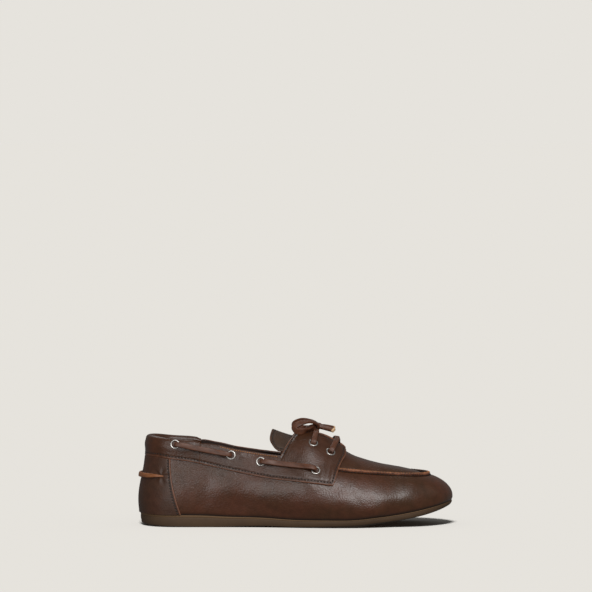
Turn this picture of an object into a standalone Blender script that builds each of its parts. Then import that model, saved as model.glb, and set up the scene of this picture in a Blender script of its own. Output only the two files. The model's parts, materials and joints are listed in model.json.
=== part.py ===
"""Right boat loafer: a flat sole, a hollow leather upper with a raised toe seam, and laced overlays.

The object stands on the floor plane z = 0. +X runs to the toe, -Y is the outer (lateral) side, and
the origin lies on the floor under the middle of the heel. Lengths are in metres.

Every leather piece lies on one surface, the last. A point of it has two parameters. The station runs
along the shoe: round the heel, along the side, and round the toe. The girth is 0 at the sole's edge,
1 at the shoulder (on the toe, the raised seam) and 2 on the crown line over the middle of the foot.
"""

import math

import bmesh
import bpy
import numpy as np
from mathutils import Vector

# Main sizes of the shoe
LENGTH = 0.262
HEEL_WIDTH = 0.0605
WAIST_WIDTH = 0.058
BALL_WIDTH = 0.0848
TOE_WIDTH = 0.0764
COLLAR_HEIGHT = 0.0772
INSTEP_HEIGHT = 0.0750
SEAM_HEIGHT = 0.0454
HEEL_SEAT = 0.034
TOE_OUTSET = 0.0032

# Sole
SOLE_HEEL = 0.0116
SOLE_BALL = 0.0070
SOLE_TOE = 0.0046
TOE_SPRING = 0.0160
ARCH_LIFT = 0.0010
EDGE_LIFT = 0.0028
TREAD_MARGIN = 0.0095

# Leather and clearances
GAP = 0.0003
OVERLAY_GAP = 0.0005
TONGUE_GAP = 0.0008
WALL = 0.0018
SEAM_RISE = 0.0016
SEAM_WIDTH = 0.0026
BAND_THICKNESS = 0.0011
FACING_THICKNESS = 0.0036
COLLAR_THICKNESS = 0.0017
COUNTER_THICKNESS = 0.0009
TONGUE_THICKNESS = 0.0016
TONGUE_WIDTH = 0.056
INSOLE_THICKNESS = 0.0034
THROAT_WIDTH = 0.020
THROAT_ROUND = 0.010
INSOLE_PLAY = 0.0010
COUNTER_GAP = 0.0004

# Eyelets and lace
EYELET_FLANGE = 0.0080
EYELET_BARREL = 0.0056
EYELET_HOLE = 0.0047
EYELET_RISE = 0.0009
EYELET_PLAY = 0.0003
EYELET_DROP = 0.0010
LACE = 0.0032

STRAND_SAG = 0.0004
BAR_CLEARANCE = 0.0007
FRONT_BAR_LEAN = 0.0050
REAR_BAR_LEAN = 0.0012
HEEL_LACE_FLAT = 0.75
HEEL_LACE_HEIGHT = 0.545
HEEL_LACE_END = 0.078
HEEL_LACE_DIP = 0.02
KNOT_RADIUS = 0.0024
KNOT_LEAN = (0.35, 0.0, 0.94)
BAR_DIP = 0.0015

# The knot's and the bow's paths from the knot's middle; the bow's are for one side, in metres
KNOT_PATH = ((0.0, -1.5, 0.0), (0.1, -0.75, 0.1), (0.15, 0.0, 0.15), (0.1, 0.75, 0.1), (0.0, 1.5, 0.0))
LOOP_PATH = (
    (-0.0004, 0.0044, 0.0022), (-0.0034, 0.0082, 0.0044), (-0.0085, 0.0130, 0.0056),
    (-0.0143, 0.0172, 0.0040), (-0.0178, 0.0198, 0.0002), (-0.0155, 0.0200, -0.0032),
    (-0.0105, 0.0172, -0.0034), (-0.0062, 0.0108, -0.0015), (-0.0030, 0.0048, 0.0000),
)
END_PATH = (
    (0.0024, 0.0044, -0.0004), (0.0052, 0.0080, 0.0006), (0.0090, 0.0115, 0.0000),
    (0.0132, 0.0150, -0.0016),
)

# How far the sections' curves pull away from their ends, as shares of the span or half width
SOLE_PULL = 0.37
SHOULDER_PULL = 0.45
TOP_PULL = 0.34
CROWN_PULL = 0.52

# Fineness of the working: steps for slopes, girths tried in a search, and the distance that welds points
SLOPE_STEP = 0.002
STATION_STEP = 0.0004
GIRTH_STEP = 0.004
GIRTHS = np.linspace(0, 2, 241)
WELD = 0.000005
HOLE_SIDES = 12
RING_STEPS = 8

LATERAL = -1
MEDIAL = 1

# Centres that the heel's and the toe's sections turn round, as shares of the length
HEEL_CENTRE = 0.1145 * LENGTH
TOE_CENTRE = 0.8244 * LENGTH
HEEL_RADIUS = 0.5 * HEEL_WIDTH
TOE_RADIUS = 0.5 * TOE_WIDTH
HEEL_END = HEEL_CENTRE - HEEL_RADIUS * math.pi / 2
TOE_END = TOE_CENTRE + TOE_RADIUS * math.pi / 2

# One row for each section of the last, from the heel's back to the toe's tip.
# along: share of the length, turn: degrees round the heel's or toe's centre, width: the size that the
# half widths are shares of, edge_out and edge_in: at the sole, lateral and medial, side_out and
# side_in: at the shoulder, height: the size that the shoulder's height is a share of, rise: that
# share, lean: the wall's slope at the shoulder in degrees, flare: how far it opens at the sole.
SECTION_COLUMNS = (
    "along", "turn", "width", "edge_out", "edge_in", "side_out", "side_in",
    "height", "rise", "lean", "flare",
)
SECTIONS = (
    (0.1145, -90, HEEL_WIDTH, 0.496, 0.496, 0.404, 0.404, COLLAR_HEIGHT, 0.830, 86, 8),
    (0.1145, -45, HEEL_WIDTH, 0.500, 0.500, 0.410, 0.410, COLLAR_HEIGHT, 0.825, 85, 9),
    (0.1145, 0, HEEL_WIDTH, 0.504, 0.500, 0.430, 0.426, COLLAR_HEIGHT, 0.810, 84, 12),
    (0.2290, 0, HEEL_WIDTH, 0.506, 0.476, 0.462, 0.450, COLLAR_HEIGHT, 0.780, 83, 13),
    (0.3435, 0, WAIST_WIDTH, 0.548, 0.452, 0.520, 0.500, COLLAR_HEIGHT, 0.740, 79, 14),
    (0.4500, 0, WAIST_WIDTH, 0.612, 0.474, 0.592, 0.552, COLLAR_HEIGHT, 0.695, 68, 15),
    (0.5340, 0, BALL_WIDTH, 0.469, 0.377, 0.434, 0.410, SEAM_HEIGHT, 1.120, 53, 15),
    (0.6107, 0, BALL_WIDTH, 0.502, 0.446, 0.404, 0.400, SEAM_HEIGHT, 1.085, 43, 16),
    (0.6794, 0, BALL_WIDTH, 0.514, 0.486, 0.369, 0.374, SEAM_HEIGHT, 1.043, 35, 17),
    (0.7519, 0, BALL_WIDTH, 0.489, 0.483, 0.333, 0.346, SEAM_HEIGHT, 1.000, 31, 17),
    (0.8244, 0, TOE_WIDTH, 0.495, 0.505, 0.320, 0.340, SEAM_HEIGHT, 0.965, 27, 15),
    (0.8244, 30, TOE_WIDTH, 0.508, 0.532, 0.322, 0.340, SEAM_HEIGHT, 0.950, 25, 12),
    (0.8244, 60, TOE_WIDTH, 0.552, 0.573, 0.330, 0.340, SEAM_HEIGHT, 0.942, 21, 15),
    (0.8244, 90, TOE_WIDTH, 0.604, 0.604, 0.340, 0.340, SEAM_HEIGHT, 0.940, 18, 15),
)

# Lines along the shoe: share of the length, then share of the size named beside the table
MIDDLE_LINE = (
    (0.00, 0.0), (0.45, 0.0), (0.61, 0.25), (0.75, 0.72), (0.8244, 1.0), (1.0, 1.0),
)  # TOE_OUTSET
SPRING_LINE = (
    (0.00, 0.04), (0.045, 0.0), (0.24, 0.0), (0.52, 0.0), (0.655, 0.0), (0.70, 0.035),
    (0.75, 0.145), (0.80, 0.262), (0.86, 0.430), (0.92, 0.640), (1.00, 1.0),
)  # TOE_SPRING
ARCH_LINE = ((0.00, 0.0), (0.24, 0.0), (0.38, 1.0), (0.52, 0.0), (1.00, 0.0))  # ARCH_LIFT
EDGE_LINE = (
    (0.00, 0.10), (0.20, 0.14), (0.36, 0.18), (0.52, 0.42), (0.62, 0.75), (0.675, 1.0),
    (0.77, 0.75), (0.84, 0.38), (0.90, 0.15), (1.00, 0.10),
)  # EDGE_LIFT
CROWN_LINE = (
    (0.10, 1.50), (0.30, 1.30), (0.428, 1.104), (0.458, 1.066), (0.496, 1.028), (0.534, 1.012),
    (0.572, 0.999),
    (0.614, 0.930), (0.652, 0.836), (0.672, 0.790), (0.702, 0.748), (0.740, 0.708), (0.779, 0.676),
    (0.832, 0.638), (0.882, 0.609), (0.930, 0.585),
)  # INSTEP_HEIGHT
TOPLINE = (
    (0.00, 0.970), (0.046, 0.962), (0.092, 0.939), (0.126, 0.925), (0.153, 0.914), (0.187, 0.904),
    (0.205, 0.905), (0.240, 0.893), (0.305, 0.846), (0.370, 0.811), (0.412, 0.789), (0.450, 0.772),
)  # COLLAR_HEIGHT
BAND_LINE = (
    (0.00, 0.763), (0.057, 0.759), (0.092, 0.740), (0.156, 0.711), (0.237, 0.654), (0.309, 0.601),
    (0.366, 0.563), (0.437, 0.526), (0.483, 0.512), (0.561, 0.482), (0.616, 0.460),
)  # COLLAR_HEIGHT
# How far the sole has gone from its heel's thickness to the ball's, and from the ball's to the toe's
SOLE_LINE = ((0.00, 0.0), (0.13, 0.0), (0.19, 0.04), (0.35, 0.68), (0.51, 0.98), (0.62, 1.0))
TOE_LINE = ((0.62, 0.0), (0.69, 0.0), (0.75, 0.18), (0.80, 0.45), (0.92, 0.60), (0.97, 0.95), (1.00, 1.0))

# Ends of the overlays: share of the way up the piece, then share of the length
FACING_FRONT = (
    (0.00, 0.6164), (0.25, 0.6300), (0.50, 0.6430), (0.72, 0.6520), (0.88, 0.6520), (1.00, 0.6420),
)
COUNTER_FRONT = (
    (0.00, 0.1315), (0.18, 0.1200), (0.40, 0.1100), (0.60, 0.1030), (0.85, 0.0965), (1.00, 0.0950),
)
# The tongue's free end: share of the way from the middle line to its edge, then share of the length
TONGUE_END = ((0.00, 0.4290), (0.30, 0.4230), (0.65, 0.4170), (0.90, 0.4290), (1.00, 0.4420))

# Throat and tongue, as shares of the length
COLLAR_SEAM = 0.192
THROAT_CORNER = 0.450
FACING_CORNER = 0.500
PADDING_FULL = 0.560
PADDING_START = 0.25
THROAT_FRONT = 0.642
TONGUE_FRONT = 0.690

# Girths of the upper's rows: on the side wall, then about the seam in its half widths, then up to the edge
SIDE_GIRTHS = (0.0, 0.22, 0.50, 0.78)
RIDGE_SHARES = (-1.5, -0.9, 0.3, 0.9)
TOP_SHARES = (0.25, 0.5, 0.75, 1.0)
TONGUE_ROWS = (1.0, 0.95, 0.85, 0.70, 0.50, 0.25, 0.0)
RIDGE_START = 0.645
RIDGE_FADE = 0.015
BAND_SHARES = (0.0, 0.33, 0.7)
ROLL_POINTS = 5
LINING_DROP = 0.35
COUNTER_FOOT = 0.004
INSOLE_GIRTH = 0.04

# Eyelet centres: share of the length, share of the height
EYELETS = (
    ("collar_rear", 0.1130, COLLAR_HEIGHT, 0.905),
    ("collar_middle", 0.2917, COLLAR_HEIGHT, 0.792),
    ("collar_front", 0.3869, COLLAR_HEIGHT, 0.724),
    ("collar_end", 0.5601, COLLAR_HEIGHT, 0.625),
    ("facing_rear", 0.5500, INSTEP_HEIGHT, 0.899),
    ("facing_front", 0.6045, INSTEP_HEIGHT, 0.818),
)


def smooth(table, at, column=1):
    """A cubic through a table's points that never overshoots between them."""
    x = np.array([row[0] for row in table], float)
    y = np.array([row[column] for row in table], float)
    step = np.diff(x)
    slope = np.diff(y) / step
    flat = slope[1:] * slope[:-1] <= 0
    total = slope[1:] + slope[:-1]
    inner = np.where(flat, 0.0, 2 * slope[1:] * slope[:-1] / np.where(flat, 1.0, total))
    tangent = np.concatenate([slope[:1], inner, slope[-1:]])
    at = np.clip(np.asarray(at, float), x[0], x[-1])
    i = np.clip(np.searchsorted(x, at, "right") - 1, 0, len(step) - 1)
    t = (at - x[i]) / step[i]
    rise = y[i] + (3 * t**2 - 2 * t**3) * (y[i + 1] - y[i])
    return rise + step[i] * ((t**3 - 2 * t**2 + t) * tangent[i] + (t**3 - t**2) * tangent[i + 1])


def flowing(x, y, at):
    """A cubic through points, with each tangent taken from its two neighbours."""
    tangent = np.gradient(y, x)
    at = np.clip(np.asarray(at, float), x[0], x[-1])
    i = np.clip(np.searchsorted(x, at, "right") - 1, 0, len(x) - 2)
    step = x[i + 1] - x[i]
    t = (at - x[i]) / step
    rise = y[i] + (3 * t**2 - 2 * t**3) * (y[i + 1] - y[i])
    return rise + step * ((t**3 - 2 * t**2 + t) * tangent[i] + (t**3 - t**2) * tangent[i + 1])


def station_of(along, turn):
    """The station of a section: a distance along the shoe, continued round its two ends."""
    if turn < 0:
        return HEEL_CENTRE + HEEL_RADIUS * math.radians(turn)
    if turn > 0:
        return TOE_CENTRE + TOE_RADIUS * math.radians(turn)
    return along * LENGTH


ROWS = [dict(zip(SECTION_COLUMNS, row)) for row in SECTIONS]
STATIONS = np.array([station_of(row["along"], row["turn"]) for row in ROWS])


def section(name, station, size=None):
    """A column of the section table at any station, times its row's size if one is named."""
    values = np.array([row[name] * (row[size] if size else 1.0) for row in ROWS])
    return flowing(STATIONS, values, station)


def spring(x):
    """Height of the sole's underside, on the middle line."""
    return TOE_SPRING * smooth(SPRING_LINE, x / LENGTH) + ARCH_LIFT * smooth(ARCH_LINE, x / LENGTH)


def sole_top(x):
    """Height of the sole's upper edge."""
    heel_to_ball = SOLE_HEEL + (SOLE_BALL - SOLE_HEEL) * smooth(SOLE_LINE, x / LENGTH)
    return spring(x) + heel_to_ball + (SOLE_TOE - SOLE_BALL) * smooth(TOE_LINE, x / LENGTH)


def crown(x):
    return INSTEP_HEIGHT * smooth(CROWN_LINE, x / LENGTH)


def crown_slope(x):
    return (crown(x + SLOPE_STEP) - crown(x - SLOPE_STEP)) / (2 * SLOPE_STEP)


def topline(x):
    return COLLAR_HEIGHT * smooth(TOPLINE, x / LENGTH)


def band_line(x):
    return COLLAR_HEIGHT * smooth(BAND_LINE, x / LENGTH)


def frame_at(side, station):
    """Where a section stands: its foot on the middle line, and the way it faces."""
    station = np.asarray(station, float)
    along = np.clip(station, HEEL_CENTRE, TOE_CENTRE)
    behind = np.minimum(station - HEEL_CENTRE, 0) / HEEL_RADIUS
    ahead = np.maximum(station - TOE_CENTRE, 0) / TOE_RADIUS
    turn = behind + ahead
    middle = TOE_OUTSET * smooth(MIDDLE_LINE, along / LENGTH)
    return along, middle, np.sin(turn), side * np.cos(turn)


def bezier(points, t):
    a, b, c, d = points
    return a * (1 - t) ** 3 + 3 * b * t * (1 - t) ** 2 + 3 * c * t**2 * (1 - t) + d * t**3


def last(side, station, girth):
    """A point of the last's outer surface, without any thickness."""
    station, girth = np.broadcast_arrays(np.asarray(station, float), np.asarray(girth, float))
    along, middle, forward, sideways = frame_at(side, station)
    suffix = "out" if side == LATERAL else "in"
    edge = section("edge_" + suffix, station, "width")
    shoulder = section("side_" + suffix, station, "width")
    height = section("rise", station, "height")
    lean = np.radians(section("lean", station))
    flare = np.radians(section("flare", station))
    foot = sole_top(along + forward * edge) + GAP
    chord = np.hypot(edge - shoulder, height - foot)
    out = SOLE_PULL * chord
    back = SHOULDER_PULL * chord
    side_r = (edge, edge + out * np.sin(flare), shoulder + back * np.cos(lean), shoulder)
    side_z = (foot, foot + out * np.cos(flare), height - back * np.sin(lean), height)
    top = crown(along)
    reach = TOP_PULL * np.hypot(shoulder, top - height)
    top_r = (shoulder, shoulder - reach * np.cos(lean), CROWN_PULL * shoulder, 0 * shoulder)
    top_z = (height, height + reach * np.sin(lean), top, top)
    low = np.clip(girth, 0, 1)
    high = np.clip(girth - 1, 0, 1)
    r = np.where(girth <= 1, bezier(side_r, low), bezier(top_r, high))
    z = np.where(girth <= 1, bezier(side_z, low), bezier(top_z, high))
    slope = crown_slope(along)
    share = r / shoulder
    z = z + np.where(girth > 1, slope * forward * r * (1 - share**2) ** 2, 0)
    return np.stack([along + forward * r, middle + sideways * r, z], axis=-1)


def outward(side, station, girth):
    """The last's unit normal, from its slopes along the two parameters."""
    station, girth = np.broadcast_arrays(np.asarray(station, float), np.asarray(girth, float))
    before = np.clip(station - STATION_STEP, HEEL_END, TOE_END)
    after = np.clip(station + STATION_STEP, HEEL_END, TOE_END)
    below_crown = np.minimum(girth, 2 - 2 * GIRTH_STEP)
    along = last(side, after, below_crown) - last(side, before, below_crown)
    lower = np.clip(below_crown - GIRTH_STEP, 0, 2)
    up = last(side, station, below_crown + GIRTH_STEP) - last(side, station, lower)
    normal = np.cross(along, up) * -side
    normal /= np.linalg.norm(normal, axis=-1, keepdims=True)
    # On the middle line and at both ends the two sides' normals have no sideways part.
    middle = np.minimum(station - HEEL_END, TOE_END - station) < WELD
    normal[..., 1] = np.where(middle, 0, normal[..., 1])
    x = np.clip(station, HEEL_CENTRE, TOE_CENTRE)
    slope = crown_slope(x)
    on_crown = np.stack([-slope, 0 * slope, 1 + 0 * slope], axis=-1)
    normal = np.where((girth > 2 - 0.5 * GIRTH_STEP)[..., None], on_crown, normal)
    return normal / np.linalg.norm(normal, axis=-1, keepdims=True)


def leather(side, station, girth, lift=0.0):
    """A point that lies lift above the last, or below it where lift is negative."""
    station, girth = np.broadcast_arrays(np.asarray(station, float), np.asarray(girth, float))
    lift = np.broadcast_to(np.asarray(lift, float), station.shape)
    return last(side, station, girth) + lift[..., None] * outward(side, station, girth)


def girth_where(side, station, test):
    """The girth, for each station, above which test(points) is positive up to the crown."""
    flat = np.ravel(station)
    points = last(side, flat[:, None], GIRTHS[None, :])
    value = test(points)
    index = len(GIRTHS) - np.argmax(value[:, ::-1] < 0, axis=1)
    index = np.where((value >= 0).all(axis=1), 1, np.minimum(index, len(GIRTHS) - 1))
    rows = np.arange(len(flat))
    before, after = value[rows, index - 1], value[rows, index]
    share = np.clip(-before / np.where(after == before, 1, after - before), 0, 1)
    return (GIRTHS[index - 1] + share * (GIRTHS[index] - GIRTHS[index - 1])).reshape(np.shape(station))


def girth_at_height(side, station, height):
    """height is a function of x that gives the wanted z."""
    return girth_where(side, station, lambda p: p[..., 2] - height(p[..., 0]))


def girth_at_width(side, station, half_width):
    """The girth where the last comes within half_width of its middle line."""
    middle = frame_at(side, np.ravel(station))[1][:, None]
    limit = np.broadcast_to(half_width, np.shape(station)).reshape(-1, 1)
    return girth_where(side, station, lambda p: limit - np.abs(p[..., 1] - middle))


def opening_edge(side, station, half_width):
    """The girth of the upper's free edge: the collar, then up the facing, then along the throat."""
    x = np.asarray(station, float) / LENGTH
    collar = girth_at_height(side, station, topline)
    throat = girth_at_width(side, station, half_width)
    climb = np.clip((x - THROAT_CORNER) / (FACING_CORNER - THROAT_CORNER), 0, 1)
    return collar + (throat - collar) * climb


def weld(grids):
    """Numbers the points of several grids, and gives one number to points that coincide.

    Returns the number of each grid point, and one (grid, column, row) for each number.
    """
    known, numbers, first = {}, [], []
    for k, grid in enumerate(grids):
        number = np.zeros(grid.shape[:2], int)
        for i, column in enumerate(grid):
            for j, point in enumerate(column):
                key = tuple(np.round(point / WELD).astype(int))
                if key not in known:
                    known[key] = len(first)
                    first.append((k, i, j))
                number[i, j] = known[key]
        numbers.append(number)
    return numbers, first


def quads(number):
    """The faces between a grid's columns and rows, with welded corners left out."""
    made = []
    for i in range(number.shape[0] - 1):
        for j in range(number.shape[1] - 1):
            ring = (number[i, j], number[i + 1, j], number[i + 1, j + 1], number[i, j + 1])
            corners = [n for k, n in enumerate(ring) if n != ring[k - 1]]
            if len(set(corners)) == len(corners) > 2:
                made.append(corners)
    return made


def sheet(name, outer, inner, material, collection):
    """A solid between outer and inner grids, with a rim wherever the outer ones have a free edge."""
    numbers, first = weld(outer)
    points = [outer[k][i][j] for k, i, j in first]
    points += [inner[k][i][j] for k, i, j in first]
    below = len(first)
    faces = [corners for number in numbers for corners in quads(number)]
    edges = {}
    for corners in faces:
        for k, n in enumerate(corners):
            pair = (corners[k - 1], n)
            edges.setdefault(tuple(sorted(pair)), []).append(pair)
    rims = [[pair[0][1], pair[0][0], pair[0][0] + below, pair[0][1] + below]
            for pair in edges.values() if len(pair) == 1]
    under = [[n + below for n in reversed(corners)] for corners in faces]
    return make_object(name, points, faces + under + rims, material, collection)


def closed(name, grids, material, collection):
    """A solid whose whole skin is given as grids that meet all round."""
    numbers, first = weld(grids)
    points = [grids[k][i][j] for k, i, j in first]
    faces = [corners for number in numbers for corners in quads(number)]
    return make_object(name, points, faces, material, collection)


def make_object(name, points, faces, material, collection, sharp=40):
    """Makes a mesh object of points and faces, turned outwards, smooth but for its sharp edges."""
    mesh = bmesh.new()
    verts = [mesh.verts.new(p) for p in points]
    used = set()
    for corners in faces:
        key = frozenset(corners)
        if key not in used:
            used.add(key)
            mesh.faces.new([verts[n] for n in corners])
    bmesh.ops.triangulate(mesh, faces=mesh.faces)
    bmesh.ops.recalc_face_normals(mesh, faces=mesh.faces)
    data = bpy.data.meshes.new(name)
    mesh.to_mesh(data)
    mesh.free()
    data.shade_smooth()
    data.set_sharp_from_angle(angle=math.radians(sharp))
    data.materials.append(material)
    made = bpy.data.objects.new(name, data)
    made.location.x = -HEEL_SEAT
    collection.objects.link(made)
    return made


def make_material(name, colour, roughness, metallic=0.0):
    material = bpy.data.materials.new(name)
    material.use_nodes = True
    shader = material.node_tree.nodes["Principled BSDF"]
    shader.inputs["Base Color"].default_value = (*colour, 1.0)
    shader.inputs["Roughness"].default_value = roughness
    shader.inputs["Metallic"].default_value = metallic
    material.diffuse_color = (*colour, 1.0)
    return material


def stations(start, *stops):
    """Stations in equal steps; each stop is (station, number of steps to it)."""
    made = [np.array([start])]
    for end, steps in stops:
        made.append(np.linspace(start, end, steps + 1)[1:])
        start = end
    return np.concatenate(made)


def eased(value):
    """0 below 0, 1 above 1, and a soft step between."""
    value = np.clip(value, 0, 1)
    return value * value * (3 - 2 * value)


SIDES = (LATERAL, MEDIAL)
SIDE_NAMES = {LATERAL: "lateral", MEDIAL: "medial"}
ROUND = stations(
    HEEL_END, (HEEL_CENTRE, 6), (THROAT_CORNER * LENGTH, 7), (FACING_CORNER * LENGTH, 3),
    (THROAT_FRONT * LENGTH - THROAT_ROUND, 3), (THROAT_FRONT * LENGTH, 4), (TOE_CENTRE, 4), (TOE_END, 7),
)


def upper_grids(lift, seam):
    """The upper's columns, from the sole's edge to its opening, or to the crown line on the toe."""
    made = []
    for side in SIDES:
        before_end = np.clip((THROAT_FRONT * LENGTH - ROUND) / THROAT_ROUND, 0, 1)
        half_width = 0.5 * THROAT_WIDTH * np.sqrt(1 - (1 - before_end) ** 2)
        edge = np.where(before_end > 0, opening_edge(side, ROUND, half_width), 2.0)
        height = section("rise", ROUND, "height") - sole_top(np.clip(ROUND, 0, LENGTH))
        half_seam = 0.5 * SEAM_WIDTH / height
        sides = [np.full_like(ROUND, girth) for girth in SIDE_GIRTHS]
        ridge = [1 + share * half_seam for share in RIDGE_SHARES]
        top = [ridge[-1] + (edge - ridge[-1]) * share for share in TOP_SHARES]
        girth = np.stack(sides + ridge + top, axis=1)
        rise = np.zeros_like(girth)
        rise[:, len(sides) + 1:len(sides) + 3] = seam
        rise *= eased((ROUND / LENGTH - RIDGE_START) / RIDGE_FADE)[:, None]
        points = leather(side, ROUND[:, None], girth, lift + rise)
        points[:, 0, 2] = last(side, ROUND, 0 * ROUND)[:, 2]
        made.append(points)
    return made


def make_upper(collection):
    material = make_material("upper_leather", (0.060, 0.026, 0.014), 0.48)
    return sheet("upper", upper_grids(0.0, SEAM_RISE), upper_grids(-WALL, 0.0), material, collection)


def plate_grids(rows, reach):
    """Skins of a plate from its underside's middle line, round its edge, to its upper middle line.

    rows holds (share of the half width, inset from the edge, height as a function of x). reach gives
    the plate's half width for a side and its stations.
    """
    made = []
    for side in SIDES:
        along, middle, forward, sideways = frame_at(side, ROUND)
        edge = reach(side, ROUND)
        columns = []
        for share, inset, height in rows:
            r = share * (edge - inset)
            x = along + forward * r
            columns.append(np.stack([x, middle + sideways * r, height(x)], axis=-1))
        made.append(np.stack(columns, axis=1))
    return made


def sole_edge(side, station):
    return section("edge_out" if side == LATERAL else "edge_in", station, "width")


def insole_edge(side, station):
    """The half width inside the upper's wall, at the insole's height."""
    inside = leather(side, station, INSOLE_GIRTH, -WALL - INSOLE_PLAY)
    along, middle, _, _ = frame_at(side, station)
    return np.hypot(inside[:, 0] - along, inside[:, 1] - middle)


def make_outsole(collection):
    def at(share):
        return lambda x: spring(x) + share * EDGE_LIFT * smooth(EDGE_LINE, x / LENGTH)

    def lip(x):
        return at(1.0)(x) + 0.25 * (sole_top(x) - at(1.0)(x))

    rows = (
        (0.0, 0.0, spring), (0.5, TREAD_MARGIN, spring), (1.0, TREAD_MARGIN, spring),
        (1.0, 0.45 * TREAD_MARGIN, at(0.22)), (1.0, 0.17 * TREAD_MARGIN, at(0.62)),
        (1.0, 0.03 * TREAD_MARGIN, lip), (1.0, 0.0, sole_top), (0.5, 0.0, sole_top),
        (0.0, 0.0, sole_top),
    )
    material = make_material("sole_rubber", (0.080, 0.050, 0.032), 0.62)
    return closed("outsole", plate_grids(rows, sole_edge), material, collection)


def make_insole(collection):
    def above(rise):
        return lambda x: sole_top(x) + GAP + rise

    rows = (
        (0.0, 0.0, above(0.0)), (1.0, 0.0008, above(0.0)), (1.0, 0.0, above(0.6 * INSOLE_THICKNESS)),
        (1.0, 0.0012, above(INSOLE_THICKNESS)), (0.0, 0.0, above(0.75 * INSOLE_THICKNESS)),
    )
    material = make_material("insole_leather", (0.115, 0.065, 0.038), 0.7)
    return closed("insole", plate_grids(rows, insole_edge), material, collection)


def strip_grid(side, back, front, low, high, top, rows):
    """Stations and girths of an overlay; back and front give its ends' stations at each height share.

    top holds the stations of its columns along its upper edge.
    """
    along = ((top - top[0]) / (top[-1] - top[0]))[:, None]
    up = np.linspace(0, 1, rows + 1)[None, :]
    station = back(up) + along * (front(up) - back(up))
    bottom = low(side, station)
    return station, bottom + up * (high(side, station) - bottom), up


def band_low(side, station):
    return girth_at_height(side, station, band_line)


def throat_edge(side, station):
    return opening_edge(side, station, 0.5 * THROAT_WIDTH)


def band_thickness(station, up):
    """The band is one layer along the collar, and thick and padded by the throat."""
    at_facing = eased((station / LENGTH - THROAT_CORNER) / (PADDING_FULL - THROAT_CORNER))
    return BAND_THICKNESS + (FACING_THICKNESS - BAND_THICKNESS) * at_facing * eased(PADDING_START + up)


def make_eyestay(side, collection):
    """The collar band in front of the heel, in one piece with the facing that carries the top eyelets."""
    def back(up):
        return COLLAR_SEAM * LENGTH + GAP + 0 * up

    def front(up):
        return LENGTH * smooth(FACING_FRONT, up)

    top = stations(
        float(back(1.0)), (THROAT_CORNER * LENGTH, 6), (FACING_CORNER * LENGTH, 3), (float(front(1.0)), 7),
    )
    station, girth, up = strip_grid(side, back, front, band_low, throat_edge, top, 7)
    outer = leather(side, station, girth, OVERLAY_GAP + band_thickness(station, up))
    inner = leather(side, station, girth, OVERLAY_GAP)
    name = "eyestay_" + SIDE_NAMES[side]
    material = make_material(name + "_leather", (0.062, 0.027, 0.015), 0.46)
    return sheet(name, [outer], [inner], material, collection)


def make_heel_collar(collection):
    """A padded strip round the heel's top, turned over the upper's edge to the inside."""
    column = stations(HEEL_END, (HEEL_CENTRE, 6), (COLLAR_SEAM * LENGTH - GAP, 3))
    skins = []
    for lift in (OVERLAY_GAP + COLLAR_THICKNESS, OVERLAY_GAP):
        grids = []
        for side in SIDES:
            bottom = girth_at_height(side, column, band_line)
            edge = girth_at_height(side, column, topline)
            rows = [leather(side, column, bottom + share * (edge - bottom), lift) for share in BAND_SHARES]
            normal = outward(side, column, edge)
            up = last(side, column, edge) - last(side, column, edge - GIRTH_STEP)
            up /= np.linalg.norm(up, axis=-1, keepdims=True)
            centre = last(side, column, edge) - 0.5 * WALL * normal
            for angle in np.linspace(0, math.pi, ROLL_POINTS):
                reach = 0.5 * WALL + lift
                rows.append(centre + reach * (math.cos(angle) * normal + math.sin(angle) * up))
            rows.append(leather(side, column, edge - LINING_DROP * (edge - bottom), -WALL - lift))
            grids.append(np.stack(rows, axis=1))
        skins.append(grids)
    material = make_material("collar_leather", (0.055, 0.024, 0.013), 0.50)
    return sheet("heel_collar", skins[0], skins[1], material, collection)


def make_counter(collection):
    """The panel outside the heel, under the collar and down to the sole."""
    def back(up):
        return HEEL_END + 0 * up

    def front(up):
        return LENGTH * smooth(COUNTER_FRONT, up)

    def low(side, station):
        return np.full_like(station, COUNTER_FOOT)

    def high(side, station):
        return girth_at_height(side, station, lambda x: band_line(x) - COUNTER_GAP)

    outer, inner = [], []
    for side in SIDES:
        top = stations(HEEL_END, (float(front(1.0)), 10))
        station, girth, _ = strip_grid(side, back, front, low, high, top, 5)
        outer.append(leather(side, station, girth, OVERLAY_GAP + COUNTER_THICKNESS))
        inner.append(leather(side, station, girth, OVERLAY_GAP))
    material = make_material("counter_leather", (0.060, 0.025, 0.014), 0.45)
    return sheet("heel_counter", outer, inner, material, collection)


def make_tongue(collection):
    """An arched flap under the facings, from beneath the toe piece back to its free end."""
    across = np.array(TONGUE_ROWS)[None, :]
    grids = []
    for lift in (-WALL - TONGUE_GAP, -WALL - TONGUE_GAP - TONGUE_THICKNESS):
        grid = []
        for side in SIDES:
            back = LENGTH * smooth(TONGUE_END, across)
            along = np.linspace(0, 1, 11)[:, None]
            station = back + along * (TONGUE_FRONT * LENGTH - back)
            low = girth_at_width(side, station, 0.5 * TONGUE_WIDTH)
            grid.append(leather(side, station, 2 - across * (2 - low), lift))
        grids.append(grid)
    material = make_material("tongue_leather", (0.058, 0.026, 0.015), 0.5)
    return sheet("tongue", grids[0], grids[1], material, collection)


def eyelet_spot(side, along, height):
    """Where an eyelet sits on the band: its middle on the band's face, and the way it faces."""
    station = np.array([along * LENGTH])
    girth = girth_at_height(side, station, lambda x: height - EYELET_DROP + 0 * x)
    bottom = band_low(side, station)
    top = throat_edge(side, station)
    up = (girth - bottom) / (top - bottom)
    if along < COLLAR_SEAM:
        lift = OVERLAY_GAP + COLLAR_THICKNESS
    else:
        lift = OVERLAY_GAP + float(band_thickness(station, up)[0])
    normal = outward(side, station, girth)[0]
    return leather(side, station, girth, lift)[0], normal, lift


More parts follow.
